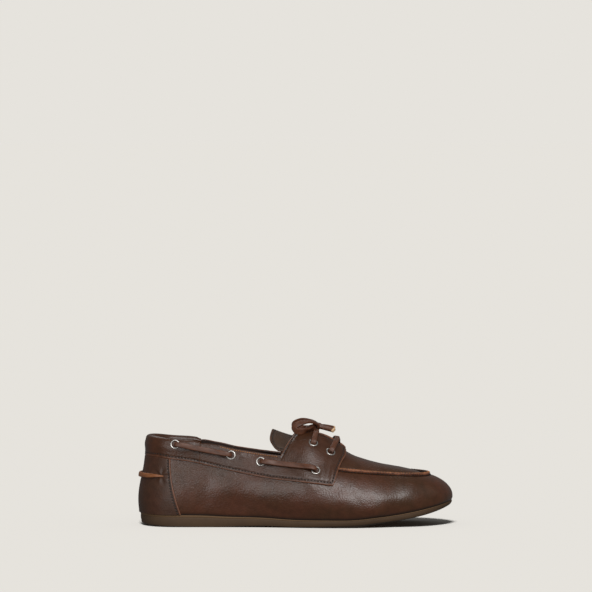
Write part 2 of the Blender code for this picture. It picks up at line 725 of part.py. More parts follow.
def facing(normal):
    """The turn that brings +Z to face along normal."""
    return Vector((0, 0, 1)).rotation_difference(Vector(normal))


def turned(name, centre, normal, profile, material, collection):
    """A ring turned about normal; profile holds (radius, height) all round its section."""
    data = bpy.data.meshes.new(name)
    points = [(radius, 0.0, height) for radius, height in profile]
    edges = [(i, (i + 1) % len(points)) for i in range(len(points))]
    data.from_pydata(points, edges, [])
    data.materials.append(material)
    made = bpy.data.objects.new(name, data)
    made.location = Vector(centre) - Vector((HEEL_SEAT, 0, 0))
    made.rotation_mode = "QUATERNION"
    made.rotation_quaternion = facing(normal)
    screw = made.modifiers.new("turn", "SCREW")
    screw.steps = RING_STEPS
    screw.render_steps = RING_STEPS
    screw.use_merge_vertices = True
    screw.merge_threshold = WELD
    collection.objects.link(made)
    return made


def make_cutter(name, centre, normal, radius, depth, collection):
    """A cylinder that cuts an eyelet's hole."""
    mesh = bmesh.new()
    bmesh.ops.create_cone(
        mesh, cap_ends=True, segments=HOLE_SIDES, radius1=radius, radius2=radius, depth=depth,
    )
    data = bpy.data.meshes.new(name)
    mesh.to_mesh(data)
    mesh.free()
    made = bpy.data.objects.new(name, data)
    made.location = Vector(centre) - Vector((HEEL_SEAT, 0, 0))
    made.rotation_mode = "QUATERNION"
    made.rotation_quaternion = facing(normal)
    made.display_type = "WIRE"
    made.hide_render = True
    collection.objects.link(made)
    return made


def cut(target, cutter):
    modifier = target.modifiers.new("cut_" + cutter.name, "BOOLEAN")
    modifier.operation = "DIFFERENCE"
    modifier.solver = "EXACT"
    modifier.object = cutter


def tube(name, path, radius, material, collection):
    """A lace as a curve along a path of points, with a round section and filled ends."""
    curve = bpy.data.curves.new(name, "CURVE")
    curve.dimensions = "3D"
    curve.bevel_depth = radius
    curve.bevel_resolution = 2
    curve.use_fill_caps = True
    curve.materials.append(material)
    spline = curve.splines.new("POLY")
    spline.points.add(len(path) - 1)
    for knot, point in zip(spline.points, path):
        knot.co = (*point, 1.0)
    made = bpy.data.objects.new(name, curve)
    made.location.x = -HEEL_SEAT
    collection.objects.link(made)
    return made


def through(points, count):
    """count points, evenly spaced, on a smooth curve through the given ones."""
    points = np.asarray(points, float)
    reach = np.concatenate([[0], np.cumsum(np.linalg.norm(np.diff(points, axis=0), axis=1))])
    fine = np.linspace(0, reach[-1], 20 * len(points))
    dense = np.stack([flowing(reach, points[:, k], fine) for k in range(3)], axis=1)
    length = np.concatenate([[0], np.cumsum(np.linalg.norm(np.diff(dense, axis=0), axis=1))])
    even = np.linspace(0, length[-1], count)
    return np.stack([np.interp(even, length, dense[:, k]) for k in range(3)], axis=1)


def make_eyelets(collection, cutters):
    """Twelve metal rings, each in a hole through its overlay and the upper; gives their places."""
    material = make_material("eyelet_nickel", (0.50, 0.49, 0.47), 0.28, 1.0)
    flange = 0.5 * EYELET_FLANGE
    barrel = 0.5 * EYELET_BARREL
    hole = 0.5 * EYELET_HOLE
    places = {}
    for side in SIDES:
        for name, along, size, share in EYELETS:
            centre, normal, lift = eyelet_spot(side, along, size * share)
            depth = lift + WALL
            profile = (
                (hole, -depth), (hole, 0.5 * EYELET_RISE), (barrel + 0.2 * (flange - barrel), EYELET_RISE),
                (flange, GAP + 0.3 * EYELET_RISE), (flange, GAP), (barrel, GAP), (barrel, -depth),
            )
            label = name + "_" + SIDE_NAMES[side]
            turned("eyelet_" + label, centre, normal, profile, material, collection)
            cutter = make_cutter("hole_" + label, centre, normal, barrel + EYELET_PLAY, 3 * depth, cutters)
            places[name, side] = (centre, normal, cutter)
    return places


def make_side_laces(places, material, collection):
    """The strands outside the collar, each out of one eyelet and down into another."""
    half = 0.5 * LACE
    for side in SIDES:
        for rear, front in (("collar_rear", "collar_middle"), ("collar_front", "collar_end")):
            (a, up_a, _), (b, up_b, _) = places[rear, side], places[front, side]
            run = (b - a) / np.linalg.norm(b - a)
            over = half + EYELET_RISE + 2 * GAP
            station = a[0] + np.array([0.3, 0.5, 0.7]) * (b[0] - a[0])
            height = np.interp(station, (a[0], b[0]), (a[2], b[2])) - STRAND_SAG
            girth = np.array([girth_at_height(side, station[k:k + 1], lambda x: height[k] + 0 * x)[0]
                              for k in range(3)])
            face = np.where(station < COLLAR_SEAM * LENGTH + LACE, COLLAR_THICKNESS, BAND_THICKNESS)
            between = leather(side, station, girth, OVERLAY_GAP + face + half + 2 * GAP)
            path = [
                a - 0.4 * half * up_a, a + 0.7 * half * up_a, a + 0.8 * over * up_a + 0.3 * half * run,
                a + over * up_a + 1.6 * half * run, *between, b + over * up_b - 1.6 * half * run,
                b + 0.8 * over * up_b - 0.3 * half * run, b + 0.7 * half * up_b, b - 0.4 * half * up_b,
            ]
            name = "lace_" + rear.split("_")[1] + "_to_" + front.split("_")[1] + "_" + SIDE_NAMES[side]
            tube(name, through(path, 14), half, material, collection)


def facing_edge(side, x):
    """The top of a facing's padded edge, beside the throat."""
    station = np.array([x])
    edge = throat_edge(side, station)
    return leather(side, station, edge, OVERLAY_GAP + FACING_THICKNESS)[0]


def bar_path(places, name, lean):
    """A lace across the throat, out of one eyelet, over both facings' edges, and into the other.

    lean is how far its middle stands in front of the eyelets.
    """
    half = 0.5 * LACE
    left, right = [], []
    for side, path in ((LATERAL, left), (MEDIAL, right)):
        hole, up, _ = places[name, side]
        edge = facing_edge(side, hole[0] + 0.7 * lean) + np.array([0.0, 0.0, half + BAR_CLEARANCE])
        out = 0.55 * hole + 0.45 * edge + 1.7 * half * up
        path += [hole - 0.5 * half * up, hole + 1.1 * half * up, out, edge]
    middle = 0.5 * (left[-1] + right[-1]) + np.array([0.3 * lean, 0.0, -BAR_DIP])
    return left + [middle] + right[::-1], middle


def make_laces(places, collection):
    material = make_material("lace_rawhide", (0.120, 0.052, 0.026), 0.45)
    make_side_laces(places, material, collection)
    half = 0.5 * LACE
    front, _ = bar_path(places, "facing_front", FRONT_BAR_LEAN)
    tube("lace_front_bar", through(front, 18), half, material, collection)
    rear, middle = bar_path(places, "facing_rear", REAR_BAR_LEAN)
    tube("lace_rear_bar", through(rear, 18), half, material, collection)
    knot = middle + (half + KNOT_RADIUS + 2 * GAP) * np.array(KNOT_LEAN)
    turn = [knot + np.array(step) * KNOT_RADIUS for step in KNOT_PATH]
    tube("lace_knot", through(turn, 9), KNOT_RADIUS, material, collection)
    for side in SIDES:
        for name, table, count in (("lace_loop_", LOOP_PATH, 17), ("lace_end_", END_PATH, 6)):
            path = [knot + np.array((dx, side * dy, dz)) for dx, dy, dz in table]
            tube(name + SIDE_NAMES[side], through(path, count), half, material, collection)
    make_heel_lace(material, collection)


def make_heel_lace(material, collection):
    """The strand that shows round the back of the heel, between its two slits."""
    lift = OVERLAY_GAP + COUNTER_THICKNESS + GAP + 0.5 * LACE * HEEL_LACE_FLAT
    path = []
    for side in (LATERAL, MEDIAL):
        station = np.linspace(HEEL_LACE_END * LENGTH, HEEL_END, 9)
        if side == MEDIAL:
            station = station[-2::-1]
        height = COLLAR_HEIGHT * HEEL_LACE_HEIGHT
        girth = girth_at_height(side, station, lambda x: height + HEEL_LACE_DIP * (x - HEEL_CENTRE * 0.1))
        path.append(leather(side, station, girth, lift))
    path = np.concatenate(path)
    tube("lace_heel", through(path, 17), 0.5 * LACE * HEEL_LACE_FLAT, material, collection)


def main():
    for old in list(bpy.data.objects):
        bpy.data.objects.remove(old, do_unlink=True)
    loafer = bpy.data.collections.new("loafer")
    cutters = bpy.data.collections.new("cutters")
    bpy.context.scene.collection.children.link(loafer)
    bpy.context.scene.collection.children.link(cutters)
    upper = make_upper(loafer)
    make_outsole(loafer)
    make_insole(loafer)
    collar = make_heel_collar(loafer)
    make_counter(loafer)
    make_tongue(loafer)
    stays = {side: make_eyestay(side, loafer) for side in SIDES}
    places = make_eyelets(loafer, cutters)
    for (name, side), (_, _, cutter) in places.items():
        cut(upper, cutter)
        cut(collar if name == "collar_rear" else stays[side], cutter)
    make_laces(places, loafer)


main()
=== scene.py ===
# %% [markdown]
# # A brown leather boat loafer
# The real shoe is a handful of flat leather pieces pulled over one wooden form, the last, then
# stitched, laced with rawhide and set on a thin rubber sole. A sculptor would push a mesh about by
# eye. Here every leather piece is worked out on one surface, the last, so that neighbours always
# fit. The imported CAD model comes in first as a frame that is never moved.

# %% Load the frame
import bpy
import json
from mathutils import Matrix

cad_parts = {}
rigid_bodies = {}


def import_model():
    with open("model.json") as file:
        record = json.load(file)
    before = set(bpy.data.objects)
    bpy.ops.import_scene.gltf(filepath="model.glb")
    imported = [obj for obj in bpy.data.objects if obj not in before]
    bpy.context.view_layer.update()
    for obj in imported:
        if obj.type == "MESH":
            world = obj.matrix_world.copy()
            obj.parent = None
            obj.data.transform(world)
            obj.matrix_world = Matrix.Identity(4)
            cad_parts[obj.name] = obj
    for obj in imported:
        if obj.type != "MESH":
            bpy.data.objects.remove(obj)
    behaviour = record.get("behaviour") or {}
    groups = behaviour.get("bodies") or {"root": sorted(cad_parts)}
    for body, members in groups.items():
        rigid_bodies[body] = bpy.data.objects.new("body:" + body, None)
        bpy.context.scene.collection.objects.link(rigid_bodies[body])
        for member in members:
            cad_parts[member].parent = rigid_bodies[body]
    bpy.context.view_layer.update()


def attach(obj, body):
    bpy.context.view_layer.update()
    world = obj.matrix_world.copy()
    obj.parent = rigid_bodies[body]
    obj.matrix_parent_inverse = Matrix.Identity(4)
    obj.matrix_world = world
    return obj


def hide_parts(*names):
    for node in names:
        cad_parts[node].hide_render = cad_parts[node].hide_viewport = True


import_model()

import json
import math

import bmesh
import bpy
import numpy as np
from mathutils import Vector

# %% [markdown]
# ## Camera
# The photograph looks at the outer side with a long lens from about four metres, a little above the
# shoe. Further away, the near side would look too small beside the outline, and nearer, too large.
# The camera is aimed at a point well above the shoe, which puts the shoe low in the picture.

# %% Camera
CAMERA_PLACE = Vector((0.0966, -4.0, 0.342))
AIM = Vector((0.0966, 0.0, 0.1922))
FRAME_WIDTH = 0.4973  # metres that the picture spans at the shoe's middle
SENSOR = 36.0
lens = bpy.data.cameras.new("camera")
lens.sensor_width = SENSOR
lens.lens = SENSOR * (AIM - CAMERA_PLACE).length / FRAME_WIDTH
camera = bpy.data.objects.new("camera", lens)
camera.location = CAMERA_PLACE
camera.rotation_euler = (AIM - CAMERA_PLACE).to_track_quat("-Z", "Y").to_euler()
bpy.context.scene.collection.objects.link(camera)
bpy.context.scene.camera = camera
print("lens in mm:", round(lens.lens, 1))

# %% [markdown]
# ## Sizes of the shoe
# These are the shoe's own sizes in metres. The tables say how wide, high and steep the last is at
# fourteen sections, and where the sole, the collar and the band run. A maker keeps the same facts
# as a set of paper patterns.

# %% Sizes
MM = 0.001
LENGTH, HEEL_WIDTH, WAIST_WIDTH, BALL_WIDTH, TOE_WIDTH = 0.262, 0.0605, 0.058, 0.0848, 0.0764
COLLAR_HEIGHT, INSTEP_HEIGHT, SEAM_HEIGHT, HEEL_SEAT, TOE_OUTSET = 0.0772, 0.0750, 0.0454, 0.034, 0.0032
SOLE_HEEL, SOLE_BALL, SOLE_TOE, TOE_SPRING = 0.0101, 0.0065, 0.0046, 0.0160
ARCH_LIFT, EDGE_LIFT, TREAD_MARGIN = 0.0010, 0.0028, 0.0095
GAP, OVERLAY_GAP, TONGUE_GAP, WALL = 0.0003, 0.0005, 0.0008, 0.0018
BAND_THICKNESS, FACING_THICKNESS, COLLAR_THICKNESS, COUNTER_THICKNESS = 0.0011, 0.0036, 0.0017, 0.0009
TONGUE_THICKNESS, TONGUE_WIDTH, INSOLE_THICKNESS, INSOLE_PLAY = 0.0016, 0.056, 0.0034, 0.0010
THROAT_WIDTH, THROAT_ROUND = 0.020, 0.010
EYELET_FLANGE, EYELET_BARREL, EYELET_HOLE, EYELET_RISE, EYELET_DROP = 0.0080, 0.0056, 0.0047, 0.0009, 0.0010
LACE, STRAND_SAG, BAR_CLEARANCE, FRONT_BAR_LEAN, REAR_BAR_LEAN = 0.0032, 0.0004, 0.0007, 0.0050, 0.0032
HEEL_LACE_FLAT, HEEL_LACE_HEIGHT, HEEL_LACE_END, HEEL_LACE_DIP = 0.75, 0.545, 0.068, 0.02
KNOT_RADIUS, KNOT_LEAN, BAR_DIP = 0.0024, (0.35, 0.0, 0.94), 0.0015
SOLE_PULL, SHOULDER_PULL, TOP_PULL, CROWN_PULL = 0.37, 0.45, 0.34, 0.52
COLLAR_SEAM, THROAT_CORNER, FACING_CORNER, PADDING_FULL, PADDING_START = 0.192, 0.450, 0.500, 0.560, 0.25
INNER_DROP, INNER_DROP_START, INNER_DROP_RUN = 1.3 * MM, 0.195, 0.05  # the inner side's collar is lower
THROAT_FRONT, TONGUE_FRONT, LINING_DROP, COUNTER_FOOT, INSOLE_GIRTH = 0.642, 0.690, 0.35, 0.004, 0.04

LATERAL, MEDIAL = -1, 1
SIDES = (LATERAL, MEDIAL)
SIDE_NAMES = {LATERAL: "lateral", MEDIAL: "medial"}

HEEL_CENTRE, TOE_CENTRE = 0.1145 * LENGTH, 0.8244 * LENGTH
HEEL_RADIUS, TOE_RADIUS = 0.5 * HEEL_WIDTH, 0.5 * TOE_WIDTH
HEEL_END = HEEL_CENTRE - HEEL_RADIUS * math.pi / 2
TOE_END = TOE_CENTRE + TOE_RADIUS * math.pi / 2

# One row for each section: its place as a share of the length, its turn round the heel or toe in
# degrees, then a width with the half widths as its shares, a height with its share, and two slopes.
SECTION_COLUMNS = (
    "along", "turn", "width", "edge_out", "edge_in", "side_out", "side_in", "height", "rise", "lean", "flare",
)
SECTIONS = (
    (0.1145, -90, HEEL_WIDTH, 0.496, 0.496, 0.404, 0.404, COLLAR_HEIGHT, 0.830, 86, 8),
    (0.1145, -45, HEEL_WIDTH, 0.500, 0.500, 0.410, 0.410, COLLAR_HEIGHT, 0.825, 85, 9),
    (0.1145, 0, HEEL_WIDTH, 0.504, 0.500, 0.430, 0.426, COLLAR_HEIGHT, 0.810, 84, 12),
    (0.2290, 0, HEEL_WIDTH, 0.506, 0.476, 0.462, 0.450, COLLAR_HEIGHT, 0.780, 83, 13),
    (0.3435, 0, WAIST_WIDTH, 0.548, 0.452, 0.520, 0.500, COLLAR_HEIGHT, 0.740, 79, 14),
    (0.4500, 0, WAIST_WIDTH, 0.612, 0.474, 0.592, 0.552, COLLAR_HEIGHT, 0.695, 68, 15),
    (0.5340, 0, BALL_WIDTH, 0.469, 0.377, 0.434, 0.410, SEAM_HEIGHT, 1.120, 53, 15),
    (0.6107, 0, BALL_WIDTH, 0.502, 0.446, 0.404, 0.400, SEAM_HEIGHT, 1.085, 43, 16),
    (0.6794, 0, BALL_WIDTH, 0.514, 0.486, 0.369, 0.374, SEAM_HEIGHT, 1.043, 35, 17),
    (0.7519, 0, BALL_WIDTH, 0.489, 0.483, 0.333, 0.346, SEAM_HEIGHT, 1.000, 31, 17),
    (0.8244, 0, TOE_WIDTH, 0.495, 0.505, 0.320, 0.340, SEAM_HEIGHT, 0.965, 27, 15),
    (0.8244, 30, TOE_WIDTH, 0.508, 0.532, 0.322, 0.340, SEAM_HEIGHT, 0.950, 25, 12),
    (0.8244, 60, TOE_WIDTH, 0.552, 0.573, 0.330, 0.340, SEAM_HEIGHT, 0.942, 21, 15),
    (0.8244, 90, TOE_WIDTH, 0.604, 0.604, 0.340, 0.340, SEAM_HEIGHT, 0.940, 18, 15),
)

# Lines along the shoe: share of the length, then share of the size named beside the table
MIDDLE_LINE = ((0.00, 0.0), (0.45, 0.0), (0.61, 0.25), (0.75, 0.72), (0.8244, 1.0), (1.0, 1.0))  # TOE_OUTSET
SPRING_LINE = (
    (0.00, 0.04), (0.045, 0.0), (0.24, 0.0), (0.52, 0.0), (0.655, 0.0), (0.70, 0.035),
    (0.75, 0.145), (0.80, 0.262), (0.86, 0.430), (0.92, 0.640), (1.00, 1.0),
)  # TOE_SPRING
ARCH_LINE = ((0.00, 0.0), (0.24, 0.0), (0.38, 1.0), (0.52, 0.0), (1.00, 0.0))  # ARCH_LIFT
EDGE_LINE = (
    (0.00, 0.90), (0.05, 0.55), (0.12, 0.26), (0.20, 0.16), (0.36, 0.18), (0.52, 0.42), (0.62, 0.75),
    (0.675, 1.0), (0.77, 0.75), (0.84, 0.42), (0.90, 0.35), (0.95, 0.55), (1.00, 0.95),
)  # EDGE_LIFT
CROWN_LINE = (
    (0.10, 1.50), (0.30, 1.30), (0.428, 1.104), (0.458, 1.066), (0.496, 1.028), (0.534, 1.012),
    (0.572, 0.999), (0.614, 0.930), (0.652, 0.836), (0.672, 0.790), (0.702, 0.748), (0.740, 0.708),
    (0.779, 0.676), (0.832, 0.638), (0.882, 0.609), (0.930, 0.585),
)  # INSTEP_HEIGHT
TOPLINE = (
    (0.00, 0.952), (0.046, 0.941), (0.092, 0.921), (0.126, 0.913), (0.153, 0.907), (0.187, 0.901),
    (0.205, 0.903), (0.240, 0.893), (0.305, 0.846), (0.370, 0.811), (0.412, 0.789), (0.450, 0.772),
)  # COLLAR_HEIGHT
BAND_LINE = (
    (0.00, 0.763), (0.057, 0.759), (0.092, 0.740), (0.156, 0.711), (0.237, 0.654), (0.309, 0.601),
    (0.366, 0.563), (0.437, 0.526), (0.483, 0.512), (0.561, 0.482), (0.616, 0.460),
)  # COLLAR_HEIGHT
SOLE_LINE = ((0.00, 0.0), (0.13, 0.0), (0.19, 0.04), (0.35, 0.68), (0.51, 0.98), (0.62, 1.0))
TOE_LINE = ((0.62, 0.0), (0.69, 0.0), (0.75, 0.18), (0.80, 0.45), (0.92, 0.60), (0.97, 0.95), (1.00, 1.0))
FACING_FRONT = (
    (0.00, 0.6164), (0.25, 0.6300), (0.50, 0.6430), (0.72, 0.6520), (0.88, 0.6520), (1.00, 0.6420),
)
COUNTER_FRONT = (
    (0.00, 0.1315), (0.18, 0.1200), (0.40, 0.1100), (0.60, 0.1030), (0.85, 0.0965), (1.00, 0.0950),
)
TONGUE_END = ((0.00, 0.4290), (0.30, 0.4230), (0.65, 0.4170), (0.90, 0.4290), (1.00, 0.4420))
EYELETS = (
    ("collar_rear", 0.1130, COLLAR_HEIGHT, 0.905), ("collar_middle", 0.2917, COLLAR_HEIGHT, 0.792),
    ("collar_front", 0.3869, COLLAR_HEIGHT, 0.724), ("collar_end", 0.5601, COLLAR_HEIGHT, 0.625),
    ("facing_rear", 0.5500, INSTEP_HEIGHT, 0.899), ("facing_front", 0.6045, INSTEP_HEIGHT, 0.818),
)

# %% [markdown]
# ## The last
# A surface for leather needs no visible joints between its sections, because a glossy finish shows
# every one. Each table is read as a cubic curve, and the curve is then averaged over a few
# millimetres, which is what the wooden form's sanding does. Two numbers place a point: the station
# runs round the heel, along a side and round the toe, and the girth climbs from the sole's edge (0)
# over the shoulder (1) to the crown line (2).

# %% Curves through the tables
FINE_STEP = 0.5 * MM
SANDING = 3 * MM


def smooth(table, at):
    """A cubic through a table's points that never overshoots between them."""
    x, y = np.array(table, float).T
    step = np.diff(x)
    slope = np.diff(y) / step
    total = slope[1:] + slope[:-1]
    flat = slope[1:] * slope[:-1] <= 0
    inner = np.where(flat, 0.0, 2 * slope[1:] * slope[:-1] / np.where(flat, 1.0, total))
    tangent = np.concatenate([slope[:1], inner, slope[-1:]])
    return hermite(x, y, tangent, at)


def flowing(x, y, at):
    """A cubic through points, with each tangent taken from its two neighbours."""
    return hermite(x, y, np.gradient(y, x), at)


def hermite(x, y, tangent, at):
    """Between two points, the cubic that has their heights and their tangents."""
    at = np.clip(np.asarray(at, float), x[0], x[-1])
    i = np.clip(np.searchsorted(x, at, "right") - 1, 0, len(x) - 2)
    step = x[i + 1] - x[i]
    t = (at - x[i]) / step
    rise = y[i] + (3 * t**2 - 2 * t**3) * (y[i + 1] - y[i])
    return rise + step * ((t**3 - 2 * t**2 + t) * tangent[i] + (t**3 - t**2) * tangent[i + 1])


def sanded(line, start, end, width=SANDING):
    """The line averaged with a bell-shaped weight of that width, mirrored at its two ends."""
    x = np.arange(start, end + FINE_STEP, FINE_STEP)
    reach = int(3 * width / FINE_STEP)
    y = line(x)
    y = np.concatenate([y[reach:0:-1], y, y[-2:-reach - 2:-1]])
    weight = np.exp(-0.5 * (np.arange(-reach, reach + 1) * FINE_STEP / width) ** 2)
    y = np.convolve(y, weight / weight.sum(), "valid")
    return lambda at: np.interp(at, x, y)


def along_shoe(table, size, width=SANDING):
    return sanded(lambda x: size * smooth(table, x / LENGTH), -10 * MM, LENGTH + 10 * MM, width)


ROWS = [dict(zip(SECTION_COLUMNS, row)) for row in SECTIONS]
STATIONS = np.array([
    HEEL_CENTRE + HEEL_RADIUS * math.radians(row["turn"]) if row["turn"] < 0
    else TOE_CENTRE + TOE_RADIUS * math.radians(row["turn"]) if row["turn"] > 0
    else row["along"] * LENGTH
    for row in ROWS
])


def section_line(name, size=None):
    values = np.array([row[name] * (row[size] if size else 1.0) for row in ROWS])
    return sanded(lambda s: flowing(STATIONS, values, s), HEEL_END, TOE_END)


section = {name: section_line(name, size) for name, size in (
    ("edge_out", "width"), ("edge_in", "width"), ("side_out", "width"), ("side_in", "width"),
    ("rise", "height"), ("lean", None), ("flare", None),
)}
middle_line = along_shoe(MIDDLE_LINE, TOE_OUTSET)
spring = along_shoe(SPRING_LINE, TOE_SPRING)
arch = along_shoe(ARCH_LINE, ARCH_LIFT)
edge_lift = along_shoe(EDGE_LINE, EDGE_LIFT)
crown = along_shoe(CROWN_LINE, INSTEP_HEIGHT)
topline = along_shoe(TOPLINE, COLLAR_HEIGHT, 1.5 * MM)
band_line = along_shoe(BAND_LINE, COLLAR_HEIGHT, 1.5 * MM)
heel_to_ball = along_shoe(SOLE_LINE, SOLE_BALL - SOLE_HEEL)
ball_to_toe = along_shoe(TOE_LINE, SOLE_TOE - SOLE_BALL)
print("girth lines made for", len(ROWS), "sections")

# %% The last's surface
SLOPE_STEP, STATION_STEP, GIRTH_STEP = 2 * MM, 0.4 * MM, 0.004
GIRTHS = np.linspace(0, 2, 201)
WELD = 0.002 * MM


def underside(x):
    return spring(x) + arch(x)


def sole_top(x):
    return underside(x) + SOLE_HEEL + heel_to_ball(x) + ball_to_toe(x)


def crown_slope(x):
    return (crown(x + SLOPE_STEP) - crown(x - SLOPE_STEP)) / (2 * SLOPE_STEP)


def frame_at(side, station):
    """Where a section stands on the middle line, and the level direction that it faces."""
    station = np.asarray(station, float)
    along = np.clip(station, HEEL_CENTRE, TOE_CENTRE)
    turn = np.minimum(station - HEEL_CENTRE, 0) / HEEL_RADIUS + np.maximum(station - TOE_CENTRE, 0) / TOE_RADIUS
    return along, middle_line(along), np.sin(turn), side * np.cos(turn)


def bezier(points, t):
    a, b, c, d = points
    return a * (1 - t) ** 3 + 3 * b * t * (1 - t) ** 2 + 3 * c * t**2 * (1 - t) + d * t**3


def last(side, station, girth):
    """A point of the form. Each section is one cubic from the sole's edge to the shoulder and a second
    one on to the crown line, and the section turns about the heel's or the toe's centre at the ends."""
    station, girth = np.broadcast_arrays(np.asarray(station, float), np.asarray(girth, float))
    along, middle, forward, sideways = frame_at(side, station)
    suffix = "out" if side == LATERAL else "in"
    edge, shoulder = section["edge_" + suffix](station), section["side_" + suffix](station)
    height = section["rise"](station)
    lean, flare = np.radians(section["lean"](station)), np.radians(section["flare"](station))
    foot = sole_top(along + forward * edge) + GAP
    chord = np.hypot(edge - shoulder, height - foot)
    out, back = SOLE_PULL * chord, SHOULDER_PULL * chord
    side_r = (edge, edge + out * np.sin(flare), shoulder + back * np.cos(lean), shoulder)
    side_z = (foot, foot + out * np.cos(flare), height - back * np.sin(lean), height)
    top = crown(along)
    reach = TOP_PULL * np.hypot(shoulder, top - height)
    top_r = (shoulder, shoulder - reach * np.cos(lean), CROWN_PULL * shoulder, 0 * shoulder)
    top_z = (height, height + reach * np.sin(lean), top, top)
    low, high = np.clip(girth, 0, 1), np.clip(girth - 1, 0, 1)
    r = np.where(girth <= 1, bezier(side_r, low), bezier(top_r, high))
    z = np.where(girth <= 1, bezier(side_z, low), bezier(top_z, high))
    share = r / shoulder
    z = z + np.where(girth > 1, crown_slope(along) * forward * r * (1 - share**2) ** 2, 0)
    return np.stack([along + forward * r - HEEL_SEAT, middle + sideways * r, z], axis=-1)


def unit(vectors):
    return vectors / np.linalg.norm(vectors, axis=-1, keepdims=True)


def outward(side, station, girth):
    """The last's unit normal: the cross product of its slopes along the station and the girth."""
    station, girth = np.broadcast_arrays(np.asarray(station, float), np.asarray(girth, float))
    before = np.clip(station - STATION_STEP, HEEL_END, TOE_END)
    after = np.clip(station + STATION_STEP, HEEL_END, TOE_END)
    below = np.minimum(girth, 2 - 2 * GIRTH_STEP)
    along = last(side, after, below) - last(side, before, below)
    up = last(side, station, below + GIRTH_STEP) - last(side, station, np.clip(below - GIRTH_STEP, 0, 2))
    normal = unit(np.cross(along, up) * -side)
    at_end = np.minimum(station - HEEL_END, TOE_END - station) < WELD
    normal[..., 1] = np.where(at_end, 0, normal[..., 1])
    slope = crown_slope(np.clip(station, HEEL_CENTRE, TOE_CENTRE))
    on_crown = np.stack([-slope, 0 * slope, 1 + 0 * slope], axis=-1)
    return unit(np.where((girth > 2 - 0.5 * GIRTH_STEP)[..., None], on_crown, normal))


def leather(side, station, girth, lift=0.0):
    """A point that lies lift above the last along its normal."""
    station, girth = np.broadcast_arrays(np.asarray(station, float), np.asarray(girth, float))
    lift = np.broadcast_to(np.asarray(lift, float), station.shape)
    return last(side, station, girth) + lift[..., None] * outward(side, station, girth)


def girth_where(side, station, test):
    """The girth, for each station, above which test(points) is positive up to the crown."""
    flat = np.ravel(station)
    value = test(last(side, flat[:, None], GIRTHS[None, :]))
    index = len(GIRTHS) - np.argmax(value[:, ::-1] < 0, axis=1)
    index = np.where((value >= 0).all(axis=1), 1, np.minimum(index, len(GIRTHS) - 1))
    rows = np.arange(len(flat))
    before, after = value[rows, index - 1], value[rows, index]
    share = np.clip(-before / np.where(after == before, 1, after - before), 0, 1)
    return (GIRTHS[index - 1] + share * (GIRTHS[index] - GIRTHS[index - 1])).reshape(np.shape(station))


def girth_at_height(side, station, height):
    return girth_where(side, station, lambda p: p[..., 2] - height(p[..., 0] + HEEL_SEAT))


def girth_at_width(side, station, half_width):
    """The girth where the last comes within half_width of its middle line."""
    middle = frame_at(side, np.ravel(station))[1][:, None]
    limit = np.broadcast_to(half_width, np.shape(station)).reshape(-1, 1)
    return girth_where(side, station, lambda p: limit - np.abs(p[..., 1] - middle))


def opening_edge(side, station, half_width=0.5 * THROAT_WIDTH):
    """The girth of the upper's free edge: the collar, then up the facing, then along the throat."""
    drop = INNER_DROP if side == MEDIAL else 0.0

    def collar_height(x):
        return topline(x) - drop * eased((x / LENGTH - INNER_DROP_START) / INNER_DROP_RUN)

    collar = girth_at_height(side, station, collar_height)
    climb = (np.asarray(station, float) / LENGTH - THROAT_CORNER) / (FACING_CORNER - THROAT_CORNER)
    return collar + (girth_at_width(side, station, half_width) - collar) * np.clip(climb, 0, 1)


def eased(value):
    """0 below 0, 1 above 1, and a soft step between."""
    value = np.clip(value, 0, 1)
    return value * value * (3 - 2 * value)


def bell(distance, width):
    """1 at no distance, falling off like a soft fold's side."""
    return np.exp(-((distance / width) ** 2))

# %% [markdown]
# ## Colour and node helpers
# Colours are picked as sRGB hex values, the way a paint program shows them, and one function turns
# them to the linear values that a renderer adds light with. One more function adds a shader node and
# gives back its output, so that a material reads like a formula.

# %% Colours and nodes
RGBA, BLENDED = {"data_type": "RGBA"}, 2  # a Mix node set to colours, and the place of its colour output


def linear(hex_code):
    """An sRGB hex colour as linear red, green, blue and a full alpha."""
    srgb = np.array([int(hex_code[k:k + 2], 16) for k in (1, 3, 5)]) / 255
    rgb = np.where(srgb <= 0.04045, srgb / 12.92, ((srgb + 0.055) / 1.055) ** 2.4)
    return (*(float(value) for value in rgb), 1.0)


def add(tree, kind, settings=None, inputs=None, output=0):
    """Adds a node. Settings are its properties; inputs are its sockets' values, or the sockets to link."""
    made = tree.nodes.new("ShaderNode" + kind)
    for key, value in (settings or {}).items():
        setattr(made, key, value)
    for key, value in (inputs or {}).items():
        if isinstance(value, bpy.types.NodeSocket):
            tree.links.new(value, made.inputs[key])
        else:
            made.inputs[key].default_value = value
    return made.outputs[output] if made.outputs else made


def start_material(name, **constants):
    """A material with only its surface shader, whose constant sockets are set, and object coordinates."""
    made = bpy.data.materials.new(name)
    made.use_nodes = True
    for key, value in constants.items():
        made.node_tree.nodes["Principled BSDF"].inputs[key.replace("_", " ")].default_value = value
    return made, made.node_tree, add(made.node_tree, "TexCoord", output="Object")


def wired(made, **sockets):
    """Links sockets to the surface shader's inputs of those names."""
    for key, socket in sockets.items():
        made.node_tree.links.new(socket, made.node_tree.nodes["Principled BSDF"].inputs[key.replace("_", " ")])
    return made
